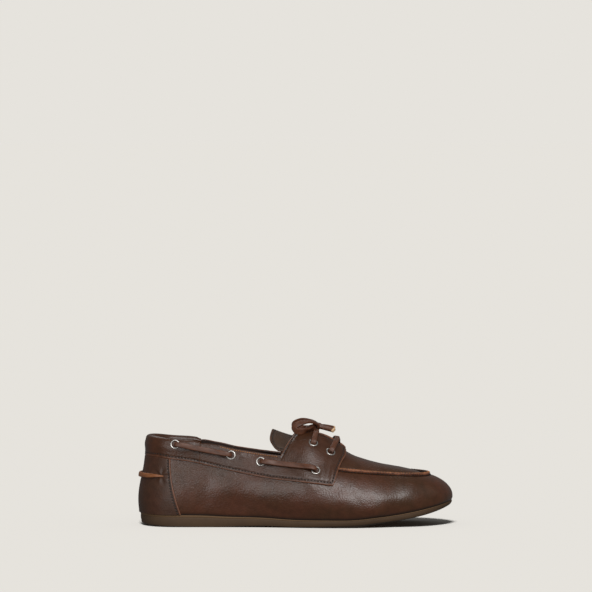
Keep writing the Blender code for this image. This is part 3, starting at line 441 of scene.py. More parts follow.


# %% [markdown]
# ## Leather
# The hide is pull-up leather: chrome tanned, filled with oil and wax and lightly glazed. The wax
# makes broad soft highlights, the dye leaves redder and darker clouds, and the grain is a fine
# pebble with pores in it, drawn at a little over a millimetre so that it shows. A photograph of
# leather would carry its own light, so the clouds, pebbles and pores are noises in real millimetres
# instead. Where an attribute called wear is high, the dye is thin and the tan hide shows, as it does
# along every edge. Where a second attribute is high, the colour is darkened towards near black:
# that is painted shade, in the seams' grooves, beside the toe's ridge and above the sole.

# %% Leather material
PEBBLE, PORE, CLOUD, MOTTLE, GRAIN_DEPTH = 1.25 * MM, 0.7 * MM, 34 * MM, 5 * MM, 0.16 * MM


def leather_material(name, dark, red, roughness):
    """Oiled full-grain hide. dark and red are its two dye clouds, and roughness the glaze's range."""
    made, tree, place = start_material(name, IOR=1.46, Coat_Weight=0.06, Coat_Roughness=0.25)
    cloud = add(tree, "TexNoise", None, {"Vector": place, "Scale": 1 / CLOUD, "Detail": 3.0, "Roughness": 0.55})
    mottle = add(tree, "TexNoise", None, {
        "Vector": place, "Scale": 1 / MOTTLE, "Detail": 5.0, "Roughness": 0.62})
    clouds = add(tree, "MapRange", None, {"Value": cloud, "From Min": 0.36, "From Max": 0.64})
    base = add(tree, "Mix", RGBA, {0: clouds, 6: linear(dark), 7: linear(red)}, BLENDED)
    shade = add(tree, "MapRange", None, {
        "Value": mottle, "From Min": 0.3, "From Max": 0.7, "To Min": 0.82, "To Max": 1.16})
    spotted = add(tree, "Mix", {**RGBA, "blend_type": "MULTIPLY"}, {0: 1.0, 6: base, 7: shade}, BLENDED)
    wear = add(tree, "Attribute", {"attribute_name": "wear"}, output="Fac")
    rub = add(tree, "Math", {"operation": "MULTIPLY_ADD"}, {0: mottle, 1: 0.9, 2: -0.45})
    rubbed = add(tree, "Math", {"operation": "ADD"}, {0: wear, 1: rub})
    bare = add(tree, "MapRange", None, {
        "Value": rubbed, "From Min": 0.25, "From Max": 0.95, "To Min": 0.0, "To Max": 0.85})
    colour = add(tree, "Mix", RGBA, {0: bare, 6: spotted, 7: linear("#8a5a42")}, BLENDED)
    # Painted shade: the second attribute darkens the colour towards near black in the seams' grooves and the
    # crevices.
    soil = add(tree, "Attribute", {"attribute_name": "soil"}, output="Fac")
    shaded_colour = add(tree, "Mix", RGBA, {0: soil, 6: colour, 7: linear("#1c110b")}, BLENDED)
    gloss = add(tree, "MapRange", None, {
        "Value": mottle, "From Min": 0.3, "From Max": 0.7, "To Min": roughness[0], "To Max": roughness[1]})
    pebble = add(tree, "TexVoronoi", {"feature": "SMOOTH_F1"}, {
        "Vector": place, "Scale": 1 / PEBBLE, "Smoothness": 0.6})
    pore = add(tree, "TexNoise", None, {"Vector": place, "Scale": 1 / PORE, "Detail": 2.0})
    height = add(tree, "Math", {"operation": "MULTIPLY_ADD"}, {0: pore, 1: 0.6, 2: pebble})
    bump = add(tree, "Bump", None, {"Height": height, "Strength": 0.8, "Distance": GRAIN_DEPTH})
    return wired(made, Base_Color=shaded_colour, Roughness=gloss, Normal=bump)


upper_leather = leather_material("leather_pull_up_upper", "#422815", "#4e2b1a", (0.31, 0.37))
band_leather = leather_material("leather_pull_up_band", "#3f2514", "#4a2917", (0.34, 0.42))
counter_leather = leather_material("leather_pull_up_counter", "#3f2616", "#482817", (0.46, 0.58))
tongue_leather = leather_material("leather_pull_up_tongue", "#3b2615", "#432b17", (0.55, 0.66))

# %% [markdown]
# ## Raw edges, lining and thread
# A cut edge isn't dyed through. It shows the tan fibres of the hide, a little fuzzy and quite matt.
# The lining is thin split leather, and the seams are waxed polyester, dark on the upper and tan
# along the collar. All of them are fibres of about half a millimetre, so one material serves.

# %% Edge, lining and thread materials
FIBRE, FUZZ, THREAD_FIBRE = 0.5 * MM, 0.1 * MM, 0.3 * MM
PATCH_SIZE = 14  # a light or dark patch is this many fibres wide


def fibre_material(name, light, dark, roughness, size=FIBRE, depth=FUZZ):
    """Matt fibres: two browns mixed by a fine noise, which also roughens the surface."""
    made, tree, place = start_material(name, IOR=1.45, Roughness=roughness)
    fibre = add(tree, "TexNoise", None, {"Vector": place, "Scale": 1 / size, "Detail": 4.0, "Roughness": 0.65})
    patch = add(tree, "TexNoise", None, {"Vector": place, "Scale": 1 / (PATCH_SIZE * size), "Detail": 2.0})
    both = add(tree, "Math", {"operation": "MULTIPLY_ADD"}, {0: patch, 1: 0.8, 2: fibre})
    share = add(tree, "MapRange", None, {"Value": both, "From Min": 0.7, "From Max": 1.1})
    colour = add(tree, "Mix", RGBA, {0: share, 6: linear(dark), 7: linear(light)}, BLENDED)
    bump = add(tree, "Bump", None, {"Height": fibre, "Strength": 0.5, "Distance": depth})
    # Painted shade: where the attribute read below is high, the fibres are darkened towards near black, as on the
    # toe ridge's inner side.
    soil = add(tree, "Attribute", {"attribute_name": "soil"}, output="Fac")
    shaded_colour = add(tree, "Mix", RGBA, {0: soil, 6: colour, 7: linear("#150d08")}, BLENDED)
    return wired(made, Base_Color=shaded_colour, Normal=bump)


raw_edge = fibre_material("leather_cut_edge", "#9c6343", "#55301f", 0.66)
dark_edge = fibre_material("leather_inked_edge", "#4a2c1c", "#2c1a10", 0.6)
lining = fibre_material("leather_lining_split", "#35211a", "#241610", 0.78, 0.9 * MM)
ridge_edge = fibre_material("leather_cut_ridge", "#9c6449", "#3c2218", 0.62, 1.1 * MM, 0.16 * MM)
dark_thread = fibre_material("thread_waxed_dark", "#1e120c", "#0d0705", 0.5, THREAD_FIBRE)
tan_thread = fibre_material("thread_waxed_tan", "#c98a55", "#8f5830", 0.5, THREAD_FIBRE)

# %% [markdown]
# ## Mesh helpers
# A piece of leather is two skins, the outer one and the inner one, joined by a rim along every free
# edge. The skins come as grids of points. Grids that touch are welded by rounding their points to
# two micrometres and giving equal ones a single number, all as whole arrays.

# %% From grids to meshes
def stacked(values):
    """Several grids of numbers as one long row."""
    return np.concatenate([np.ravel(value) for value in values])


def welded(grids):
    """Numbers the grids' points, with one number for points that coincide, and picks one of each."""
    points = np.concatenate([grid.reshape(-1, 3) for grid in grids])
    keys = np.round(points / WELD).astype(np.int64)
    _, first, number = np.unique(keys, axis=0, return_index=True, return_inverse=True)
    ends = np.cumsum([grid.shape[0] * grid.shape[1] for grid in grids])[:-1]
    return [part.reshape(grid.shape[:2]) for part, grid in zip(np.split(number.ravel(), ends), grids)], first


def faces_of(numbers):
    """Quads between neighbouring columns and rows; one with two welded corners becomes a triangle."""
    ring = np.concatenate([
        np.stack([n[:-1, :-1], n[1:, :-1], n[1:, 1:], n[:-1, 1:]], axis=-1).reshape(-1, 4) for n in numbers
    ])
    same = ring == np.roll(ring, 1, axis=1)
    part = same.sum(axis=1) == 1
    return ring[~same.any(axis=1)], ring[part][~same[part]].reshape(-1, 3)


def make_piece(name, points, quads, triangles, materials, indices=None, attributes=None, sharp=50, bevel=0.0):
    """Puts points and faces into a mesh object, turns the faces outwards and adds its attributes."""
    data = bpy.data.meshes.new(name)
    data.from_pydata(points.tolist(), [], quads.tolist() + triangles.tolist())
    for material in materials:
        data.materials.append(material)
    if indices is not None:
        data.polygons.foreach_set("material_index", np.asarray(indices, np.int32))
    mesh = bmesh.new()
    mesh.from_mesh(data)
    bmesh.ops.recalc_face_normals(mesh, faces=mesh.faces)
    mesh.to_mesh(data)
    mesh.free()
    for key, values in (attributes or {}).items():
        data.attributes.new(key, "FLOAT", "POINT").data.foreach_set("value", np.asarray(values, np.float32))
    data.shade_smooth()
    data.set_sharp_from_angle(angle=math.radians(sharp))
    made = bpy.data.objects.new(name, data)
    bpy.context.scene.collection.objects.link(made)
    if bevel:
        rounding = made.modifiers.new("rounded_edge", "BEVEL")
        rounding.width = bevel
        rounding.segments = 2
        rounding.limit_method = "ANGLE"
        rounding.angle_limit = math.radians(55)
        rounding.harden_normals = False
    return made


def make_closed(name, grids, materials, attributes=None, **options):
    """A piece whose whole skin is given as grids that meet all round."""
    numbers, first = welded(grids)
    points = np.concatenate([grid.reshape(-1, 3) for grid in grids])[first]
    picked = {key: stacked(values)[first] for key, values in (attributes or {}).items()}
    return make_piece(name, points, *faces_of(numbers), materials, None, picked, **options)


def make_shell(name, outer, inner, materials, attributes=None, **options):
    """A wall between two skins, with a rim wherever the outer one has a free edge. Materials are those of
    the face, the rim and the back."""
    numbers, first = welded(outer)
    count = len(first)
    points = np.concatenate([
        np.concatenate([g.reshape(-1, 3) for g in skin])[first] for skin in (outer, inner)])
    quads, triangles = faces_of(numbers)
    pairs = np.concatenate([
        np.stack([faces, np.roll(faces, -1, axis=1)], axis=-1).reshape(-1, 2) for faces in (quads, triangles)
    ])
    _, back, uses = np.unique(np.sort(pairs, axis=1), axis=0, return_inverse=True, return_counts=True)
    free = pairs[uses[back.ravel()] == 1]
    rim = np.stack([free[:, 1], free[:, 0], free[:, 0] + count, free[:, 1] + count], axis=1)
    all_quads = np.concatenate([quads, quads[:, ::-1] + count, rim])
    all_triangles = np.concatenate([triangles, triangles[:, ::-1] + count])
    indices = np.repeat([0, 2, 1, 0, 2], [len(quads), len(quads), len(rim), len(triangles), len(triangles)])
    picked = {key: np.tile(stacked(values)[first], 2) for key, values in (attributes or {}).items()}
    return make_piece(name, points, all_quads, all_triangles, materials, indices, picked, **options)


def finish_piece(made, slot, *nodes):
    """Ties a piece to the CAD body and hides the solids that it stands for. slot, its finish, is not used."""
    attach(made, "root")
    if nodes:
        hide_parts(*nodes)
    print(made.name, len(made.data.polygons), "faces")
    return made


def share_mean(lateral, medial, index):
    """Makes two sides' grids meet exactly, by giving both their mean at that index."""
    both = 0.5 * (lateral[index] + medial[index])
    lateral[index], medial[index] = both, both


def join_sides(lateral, medial):
    """Joins two sides' grids along the heel's line and at the toe."""
    share_mean(lateral, medial, 0)
    share_mean(lateral, medial, -1)


# %% [markdown]
# ## Waves, folds and pulls in the leather
# No leather is as smooth as its last. It keeps slow waves from the hide, soft folds where the foot
# will bend, and it is drawn in at each eyelet by the lace. The waves are a few plane waves added
# up. The folds are listed in millimetres of the side view: a ridge is positive, a trough is
# negative. Every layer reads the same relief, so a band never sinks through the wall below it.

# %% Relief
WAVES = ((0.18 * MM, 34 * MM, 3, 9), (0.035 * MM, 8 * MM, 5, 14))  # depth, length, seed, how many
# side, x, z, turn in degrees, half length, half width, height; all in mm but the turn
FOLDS = (
    (LATERAL, 122, 21, 0, 60, 9, 1.5), (LATERAL, 160, 14, 0, 18, 6, 1.5), (LATERAL, 176, 23, 0, 16, 10, 1.6),
    (LATERAL, 190, 33, 0, 12, 8, 0.5), (LATERAL, 205, 29, 0, 10, 11, -0.5), (LATERAL, 150, 24, 0, 14, 8, -0.5),
    (LATERAL, 130, 32, 0, 18, 7, -0.5), (LATERAL, 100, 24, 0, 18, 7, -0.6), (LATERAL, 76, 30, -6, 30, 14, 0.9),
    (LATERAL, 42, 36, -6, 18, 13, 1.0), (LATERAL, 54, 20, -4, 28, 7, -0.6), (LATERAL, 72, 45, -8, 20, 6, -0.5),
    (LATERAL, 22, 34, 78, 16, 8, -0.5), (LATERAL, 142, 31, -58, 12, 4, -0.2), (LATERAL, 150, 29, -60, 12, 4, 0.2),
    (LATERAL, 50, 60, 25, 5, 3.5, 0.5), (LATERAL, 66, 57, 70, 4, 3, 0.3), (LATERAL, 104, 67, -28, 14, 8, 2.1),
    (LATERAL, 111, 49, -30, 10, 6, -0.5), (LATERAL, 118, 45, 84, 8, 2.4, 0.4), (LATERAL, 123, 45, 84, 8, 2.4, -0.4),
    (LATERAL, 127, 44, 84, 8, 2.4, 0.4),
    (MEDIAL, 110, 21, 0, 60, 9, 1.0), (MEDIAL, 74, 42, -18, 24, 8, 0.5), (MEDIAL, 98, 34, -28, 18, 6, -0.4),
    (MEDIAL, 128, 30, -48, 13, 4, -0.4), (MEDIAL, 137, 28, -55, 14, 4, 0.35), (MEDIAL, 70, 57, 60, 5, 4, 0.5),
    (MEDIAL, 122, 50, 80, 9, 5, 0.4), (MEDIAL, 22, 38, 75, 14, 7, -0.4),
)
EYELET_PULL, EYELET_PULL_REACH = 0.55 * MM, 6.5 * MM


def waves(points, size, seed, count=9):
    """Plane waves of about that length in random directions, added up and scaled to about -1 to 1."""
    draw = np.random.default_rng(seed)
    way = unit(draw.normal(size=(count, 3))) / (size * draw.uniform(0.7, 1.5, (count, 1)))
    phase = draw.uniform(0, 2 * math.pi, count)
    return np.sin(2 * math.pi * points @ way.T + phase).sum(axis=-1) / math.sqrt(count)


def eyelet_place(side, along, height):
    """The point of the last behind an eyelet, and its station and girth."""
    station = np.array([along * LENGTH])
    girth = girth_at_height(side, station, lambda x: height - EYELET_DROP + 0 * x)
    return last(side, station, girth)[0], station, girth


eyelet_places = {
    (name, side): eyelet_place(side, along, size * share)
    for side in SIDES for name, along, size, share in EYELETS
}


def relief(side, points):
    """How far the leather stands off the last: waves, then folds, then a dimple at each eyelet."""
    lift = sum(depth * waves(points, size, seed, count) for depth, size, seed, count in WAVES)
    x, z = points[..., 0] / MM, points[..., 2] / MM
    for _, at_x, at_z, degrees, half_length, half_width, height in (row for row in FOLDS if row[0] == side):
        turn = math.radians(degrees)
        along = (x - at_x) * math.cos(turn) + (z - at_z) * math.sin(turn)
        off = (z - at_z) * math.cos(turn) - (x - at_x) * math.sin(turn)
        lift = lift + height * MM * bell(along, half_length) * bell(off, half_width)
    for (_, eyelet_side), (centre, _, _) in eyelet_places.items():
        if eyelet_side == side:
            lift = lift - EYELET_PULL * bell(np.linalg.norm(points - centre, axis=-1), EYELET_PULL_REACH)
    return lift


# %% [markdown]
# ## The upper
# One wall of hide wraps the whole foot: heel, sides and toe, open at the collar and the throat. It
# could be modelled by extruding a ring of vertices by hand. As a surface of two parameters it keeps
# the last's own section everywhere, and its grid is dense enough for real waves. Beside the raised
# seam of the toe the leather dips, and the toe's plug lies a little lower than the seam.

# %% Upper
COLUMN = 1.15 * MM
SEAM_DIP, SEAM_DIP_AT, SEAM_DIP_WIDTH = 0.45 * MM, 1.9 * MM, 1.3 * MM
PLUG_DROP, PLUG_DROP_AT, PLUG_DROP_WIDTH = 1.4 * MM, 2.6 * MM, 4.5 * MM
FEATHER_TUCK, FEATHER_REACH, FEATHER_FADE = 1.0 * MM, 1.1 * MM, 4 * MM  # drawn in where it meets the sole
LOW_GIRTHS = np.concatenate([[0, 0.012, 0.03], np.linspace(0.055, 0.93, 34), [0.95, 0.966, 0.98, 0.99, 1.0]])
HIGH_SHARES = np.concatenate([[0.012, 0.025, 0.045, 0.07], np.linspace(0.10, 1.0, 30)])


def evenly(start, end, step):
    return np.linspace(start, end, max(2, int(round((end - start) / step)) + 1))


ROUND = np.unique(np.concatenate([
    evenly(HEEL_END, THROAT_FRONT * LENGTH - THROAT_ROUND, COLUMN),
    THROAT_FRONT * LENGTH - THROAT_ROUND * (1 - np.sin(np.linspace(0, 0.5 * math.pi, 14))),
    evenly(THROAT_FRONT * LENGTH, TOE_END, COLUMN),
]))


def upper_grid(side):
    """The outer skin, the inner skin and the painted shade, by station and girth."""
    before_end = np.clip((THROAT_FRONT * LENGTH - ROUND) / THROAT_ROUND, 0, 1)
    half_width = 0.5 * THROAT_WIDTH * np.sqrt(1 - (1 - before_end) ** 2)
    edge = np.where(before_end > 0, opening_edge(side, ROUND, half_width), 2.0)
    low = np.broadcast_to(LOW_GIRTHS, (len(ROUND), len(LOW_GIRTHS)))
    girth = np.concatenate([low, 1 + (edge - 1)[:, None] * HIGH_SHARES], axis=1)
    base = last(side, ROUND[:, None], girth)
    seam = base[:, len(LOW_GIRTHS) - 1][:, None]
    away = np.linalg.norm(base - seam, axis=-1) * np.sign(girth - 1)
    on_toe = eased((ROUND / LENGTH - 0.63) / 0.03)[:, None]
    at_tip = eased((ROUND / LENGTH - 0.74) / 0.14)[:, None]
    dip = SEAM_DIP * bell(np.abs(away) - SEAM_DIP_AT, SEAM_DIP_WIDTH)
    drop = (0.3 + 0.7 * at_tip) * PLUG_DROP * (away > 0) * bell(away - PLUG_DROP_AT, PLUG_DROP_WIDTH)
    tucked = np.linalg.norm(base - base[:, :1], axis=-1)
    lift = relief(side, base) - on_toe * dip - on_toe * drop - FEATHER_TUCK * bell(tucked, FEATHER_REACH)
    lift = lift * eased(tucked / FEATHER_FADE + 0.35)
    points = base + lift[..., None] * outward(side, ROUND[:, None], girth)
    inside = leather(side, ROUND[:, None], girth, -WALL)
    points[:, 0, 2], inside[:, 0, 2] = base[:, 0, 2], base[:, 0, 2]
    # Painted shade: darkened in a line just below the toe seam, on the plug behind it (wider towards the tip), and
    # where the wall tucks into the sole.
    beside_seam = np.maximum(
        bell(away + 1.7 * MM, 0.8 * MM), bell(away - 1.8 * MM, (1.0 + 1.4 * at_tip) * MM))
    return points, inside, np.maximum(on_toe * beside_seam, bell(tucked, 1.2 * MM))


upper_outer, upper_inner, upper_painted_shade = zip(*(upper_grid(side) for side in SIDES))
on_crown = ROUND >= THROAT_FRONT * LENGTH - WELD
for halves in (upper_outer, upper_inner):
    join_sides(*halves)
    share_mean(*halves, (on_crown, -1))
upper = make_shell("upper_wall", upper_outer, upper_inner, (upper_leather, dark_edge, lining),
                   {"soil": upper_painted_shade})
finish_piece(upper, "leather", "upper")

# %% [markdown]
# ## Overlays
# The collar band, the facing that carries the top eyelets, the counter round the heel and the
# tongue are separate cuts of hide, stitched down a little inside their raw edges. Each is a strip
# of the last between two girth lines. Its rows and columns crowd towards the edges, at distances
# in millimetres, so that the edge can round over and the seam can pull a groove.

# %% Strips of the last
EDGE_STEPS = np.array([0.0, 0.35, 0.8, 1.3, 1.75, 2.2, 2.65, 3.1, 3.8]) * MM
SEAM_STEP = 5  # the row of EDGE_STEPS that the thread follows
STEEPEST = 2.0  # how much further along the girth a row lies below an edge that climbs steeply
SEAM_GROOVE, GROOVE_WIDTH, EDGE_FALL, UNDER_LIFT = 0.40 * MM, 0.75 * MM, 0.35 * MM, 0.08 * MM


def speed(side, station, girth):
    """How many metres one unit of girth is worth at a point."""
    lower = np.clip(girth - GIRTH_STEP, 0, 2)
    upper_girth = np.clip(girth + GIRTH_STEP, 0, 2)
    moved = last(side, station, upper_girth) - last(side, station, lower)
    return np.linalg.norm(moved, axis=-1) / (upper_girth - lower)


def edge_spaced(total, middle, start=True, end=True):
    """Distances from 0 to total that crowd at the chosen ends."""
    head = EDGE_STEPS if start else np.array([0.0])
    tail = total - EDGE_STEPS[::-1] if end else np.array([total])
    return np.concatenate([head, np.linspace(head[-1], tail[0], middle + 2)[1:-1], tail])


def strip(side, back, front, low, high, length, height, columns, rows, start=True, end=True):
    """Stations and girths of an overlay, and each point's distance from the ends and from the long edges.

    back and front give the ends' stations at each share of the height. low and high give the long edges'
    girths. The rows next to an edge follow it at EDGE_STEPS.
    """
    reach = edge_spaced(length, columns, start, end)
    climb = edge_spaced(height, rows)
    along, up = (reach / length)[:, None], (climb / height)[None, :]
    station = back(up) + along * (front(up) - back(up))
    bottom, top = low(side, station), high(side, station)
    n = len(EDGE_STEPS)
    climbing = speed(side, station, top) * np.gradient(top, axis=0) / np.gradient(station, axis=0)
    slant = np.minimum(np.hypot(1, climbing), STEEPEST)
    lower = bottom[:, :n] + EDGE_STEPS / speed(side, station, bottom)[:, :n]
    upper_rows = top[:, -n:] - (EDGE_STEPS[::-1] * slant[:, -n:]) / speed(side, station, top)[:, -n:]
    between = np.linspace(0, 1, rows + 2)[1:-1]
    middle = station[:, n:-n]
    first = bottom[:, n:-n] + EDGE_STEPS[-1] / speed(side, middle, bottom[:, n:-n])
    final = top[:, n:-n] - EDGE_STEPS[-1] * slant[:, n:-n] / speed(side, middle, top[:, n:-n])
    girth = np.concatenate([lower, first + between * (final - first), upper_rows], axis=1)
    far = np.full_like(reach, 1.0)
    from_ends = np.minimum(reach if start else far, length - reach if end else far)[:, None] + 0 * girth
    from_bottom = climb[None, :] + 0 * girth
    from_top = (height - climb)[None, :] + 0 * girth
    return station, girth, from_ends, from_bottom, from_top


def edge_profile(thickness, *distances):
    """The lift of an overlay: its thickness, rounded over at the edges and drawn down along the seam."""
    nearest = np.minimum.reduce(distances)
    fall = EDGE_FALL * np.exp(-nearest / (0.45 * MM))
    return thickness - fall - SEAM_GROOVE * bell(nearest - EDGE_STEPS[SEAM_STEP], GROOVE_WIDTH), nearest


def edge_wear(nearest):
    return 0.9 * bell(nearest, 0.75 * MM)


# Painted shade: the colour is darkened along the seam's groove.
def seam_groove_shade(nearest):
    return 0.25 * bell(nearest - EDGE_STEPS[SEAM_STEP], 0.6 * MM)


# %% [markdown]
# ## Thread
# A lock stitch shows as a row of short fat dashes that dive into the leather at both ends. One
# stitch is a stretched ball on a small grid, bent down at its ends, and the seam is that ball
# repeated at even distances along a path, all in one array.

# %% Stitches
STITCH_PITCH, STITCH_LENGTH, STITCH_WIDTH, STITCH_HEIGHT = 2.7 * MM, 2.0 * MM, 0.95 * MM, 0.6 * MM


def spaced_along(path, normals, pitch, start=0.5):
    """Points, tangents and normals at even distances along a path."""
    reach = np.concatenate([[0], np.cumsum(np.linalg.norm(np.diff(path, axis=0), axis=1))])
    at = np.arange(start * pitch, reach[-1] - 0.3 * pitch, pitch)
    tangent = np.gradient(path, reach, axis=0)
    pick = lambda values: np.stack([np.interp(at, reach, values[:, k]) for k in range(3)], axis=1)
    return pick(path), unit(pick(tangent)), unit(pick(normals))


def stitch_row(path, normals, pitch=STITCH_PITCH, length=STITCH_LENGTH, width=STITCH_WIDTH,
               height=STITCH_HEIGHT, turn=0.0, sink=0.35, start=0.5):
    """Grids for a row of stitches: a ball stretched along the seam, its ends bent down by the square of
    their distance, and turned in the surface by turn degrees."""
    centre, tangent, normal = spaced_along(path, normals, pitch, start)
    across = unit(np.cross(normal, tangent))
    tangent = np.cross(across, normal)
    turn = math.radians(turn)
    run = math.cos(turn) * tangent + math.sin(turn) * across
    wide = math.cos(turn) * across - math.sin(turn) * tangent
    u = np.linspace(-0.5 * math.pi, 0.5 * math.pi, 7)[:, None]
    v = np.linspace(0, 2 * math.pi, 9)[None, :]
    x = 0.5 * length * np.sin(u) + 0 * v
    y = 0.5 * width * np.sqrt(np.cos(u)) * np.cos(v)
    z = 0.5 * height * np.sqrt(np.cos(u)) * np.sin(v) - 0.9 * height * (2 * x / length) ** 4
    z = z + (0.5 - sink) * height
    y[:, -1], z[:, -1] = y[:, 0], z[:, 0]
    y[[0, -1]], z[[0, -1]] = 0.0, z[[0, -1]][:, :1]
    ball = np.stack([x, y, z], axis=-1)
    axes = np.stack([run, wide, normal], axis=1)
    return centre[:, None, None, :] + np.einsum("uvk,nkc->nuvc", ball, axes)


def make_stitches(name, rows, material):
    """One mesh for several rows of stitches."""
    balls = np.concatenate(rows)
    made = make_closed(name, list(balls), (material,), sharp=180)
    return finish_piece(made, "leather")


# %% Collar bands and facings
BAND_BACK = COLLAR_SEAM * LENGTH + 0.1 * MM
BAND_HEIGHT = 34 * MM  # about the facing's height, which spaces the rows
TOP_THREAD_ROW = -4  # the row that the collar's thread follows
BARE_FROM = 0.255 * LENGTH  # the heel's roll hides the collar's thread behind this station


def band_low(side, station):
    return girth_at_height(side, station, band_line)


def band_thickness(station, up):
    """The band is one layer along the collar, and thick and padded by the throat."""
    at_facing = eased((station / LENGTH - THROAT_CORNER) / (PADDING_FULL - THROAT_CORNER))
    return BAND_THICKNESS + (FACING_THICKNESS - BAND_THICKNESS) * at_facing * eased(PADDING_START + up)


def make_band(side):
    """One side's band and facing, its thread below and in front, and the thread along the collar."""
    name = SIDE_NAMES[side]
    station, girth, from_ends, from_bottom, from_top = strip(
        side, lambda up: BAND_BACK + 0 * up, lambda up: LENGTH * smooth(FACING_FRONT, up), band_low,
        opening_edge, THROAT_FRONT * LENGTH - BAND_BACK, BAND_HEIGHT, 104, 22, start=False)
    base, normal = last(side, station, girth), outward(side, station, girth)
    bottom, top = band_low(side, station[:, -1]), opening_edge(side, station[:, -1])
    up = np.clip((girth - bottom[:, None]) / (top - bottom)[:, None], 0, 1)
    on_facing = eased((station / LENGTH - THROAT_CORNER + 0.02) / 0.03)
    top_distance = from_top + (1 - on_facing) * 1.2 * MM
    thickness = OVERLAY_GAP + band_thickness(station, up)
    lift, nearest = edge_profile(thickness, from_ends, from_bottom, top_distance)
    waved = relief(side, base)
    outer = base + (lift + waved)[..., None] * normal
    inner = base + (UNDER_LIFT + waved)[..., None] * normal
    piece = make_shell("collar_band_" + name, [outer], [inner], (band_leather, raw_edge, lining),
                       {"wear": [edge_wear(nearest)], "soil": [seam_groove_shade(nearest)]}, bevel=0.2 * MM)
    finish_piece(piece, "leather", "eyestay_" + name)
    k = SEAM_STEP
    path, path_normal = (
        np.concatenate([grid[:-1 - k, k], grid[-1 - k, k:-1 - k], grid[:-k - 1, -1 - k][::-1]])
        for grid in (outer, normal))
    on_collar = path[:, 0] + HEEL_SEAT < (THROAT_CORNER + 0.006) * LENGTH
    on_top = np.arange(len(path)) >= len(outer) - 1 - k + outer.shape[1] - 1 - 2 * k
    sewn = ~(on_collar & on_top)
    make_stitches("band_thread_" + name, [stitch_row(path[sewn], path_normal[sewn])], dark_thread)
    row = TOP_THREAD_ROW
    bare = (on_facing[:, row] < 0.5) & (station[:, row] > BARE_FROM)
    collar_row = stitch_row(outer[:, row][bare], normal[:, row][bare], 1.9 * MM, 1.5 * MM, 0.7 * MM)
    make_stitches("topline_thread_" + name, [collar_row], tan_thread)


for side in SIDES:
    make_band(side)

# %% [markdown]
# ## Heel collar
# Round the heel the collar is padded and its leather is turned over the edge to the inside, so it
# ends in a soft roll and not in a raw cut. Its section is a wall, a half circle over the top and a
# short wall down the inside, carried round the heel.

# %% Heel collar
ROLL_POINTS, PUFF = 11, 0.3 * MM
collar_column = evenly(HEEL_END, COLLAR_SEAM * LENGTH, COLUMN)
from_seam = COLLAR_SEAM * LENGTH - collar_column
padding = (COLLAR_THICKNESS - BAND_THICKNESS) * eased(from_seam / (10 * MM))
puff = PUFF * eased(from_seam / (10 * MM))
roll_end = 0.45 + 0.55 * eased(from_seam / (4 * MM))


def heel_collar_skin(side, is_outer):
    """Rows up the wall, over the roll in a half circle and down the inside, for one of the two skins."""
    bottom, edge = (girth_at_height(side, collar_column, line) for line in (band_line, topline))
    per_metre = 1 / speed(side, collar_column, bottom)
    near = [bottom + step * per_metre for step in EDGE_STEPS]
    rest = [near[-1] + share * (edge - near[-1]) for share in np.linspace(0, 1, 15)[1:-1]]
    rows = []
    for k, girth in enumerate(near + rest):
        past = k >= len(near)  # past the edge's own rows the seam's groove is far away
        away = EDGE_STEPS[min(k, len(EDGE_STEPS) - 1)] + past * 5 * MM + 0 * girth
        share = max(0, k - len(near) + 1) / len(rest)
        lift = OVERLAY_GAP * share + UNDER_LIFT + 0 * girth
        if is_outer:
            lift = edge_profile(OVERLAY_GAP + BAND_THICKNESS, away)[0]
            lift = lift + padding * eased(share * 1.4) + puff * math.sin(math.pi * share)
        points = last(side, collar_column, girth)
        rows.append(points + (lift + relief(side, points))[:, None] * outward(side, collar_column, girth))
    points, normal = last(side, collar_column, edge), outward(side, collar_column, edge)
    up = unit(points - last(side, collar_column, edge - GIRTH_STEP))
    waved = relief(side, points)[:, None] * normal
    lift = OVERLAY_GAP + is_outer * (BAND_THICKNESS + padding)
    radius = (0.5 * WALL + lift)[:, None]
    for angle in np.linspace(0, math.pi, ROLL_POINTS):
        turned = math.cos(angle) * normal + math.sin(angle) * roll_end[:, None] * up
        rows.append(points - 0.5 * WALL * normal + waved + radius * turned)
    for share in (0.08, 0.18, LINING_DROP):
        thinner = 0.5 if share == LINING_DROP else 1.0
        inside = leather(side, collar_column, edge - share * (edge - bottom), -WALL - lift * thinner)
        rows.append(inside + waved * (1 - share / LINING_DROP))
    return np.stack(rows, axis=1)


collar_outer = [heel_collar_skin(side, True) for side in SIDES]
collar_inner = [heel_collar_skin(side, False) for side in SIDES]
for halves in (collar_outer, collar_inner):
    share_mean(*halves, 0)
collar_wear, collar_painted_shade = np.zeros(collar_outer[0].shape[:2]), np.zeros(collar_outer[0].shape[:2])
collar_wear[:, :len(EDGE_STEPS)] = edge_wear(EDGE_STEPS)
# Painted shade along the groove of the collar's seam.
collar_painted_shade[:, :len(EDGE_STEPS)] = seam_groove_shade(EDGE_STEPS)
heel_collar = make_shell("heel_collar_roll", collar_outer, collar_inner, (band_leather, raw_edge, lining),
                         {"wear": [collar_wear] * 2, "soil": [collar_painted_shade] * 2}, bevel=0.2 * MM)
finish_piece(heel_collar, "leather", "heel_collar")
collar_rows = []
for side, grid in zip(SIDES, collar_outer):
    bottom = girth_at_height(side, collar_column, band_line)
    seam_girth = bottom + EDGE_STEPS[SEAM_STEP] / speed(side, collar_column, bottom)
    collar_rows.append(stitch_row(grid[:, SEAM_STEP], outward(side, collar_column, seam_girth)))
make_stitches("heel_collar_thread", collar_rows, dark_thread)

# %% [markdown]
# ## Counter
# The counter is a stiffener's cover: one panel round the heel, tucked under the collar above and
# running down to the sole. Its front edge is zigzagged to the wall with small slanted stitches.
# The heel lace comes out of a slit on each side, and the leather puckers where it does.

# %% Counter
SLIT_PUCKER, PUCKER_REACH, PUCKER_RAYS = 0.5 * MM, 5.5 * MM, 5


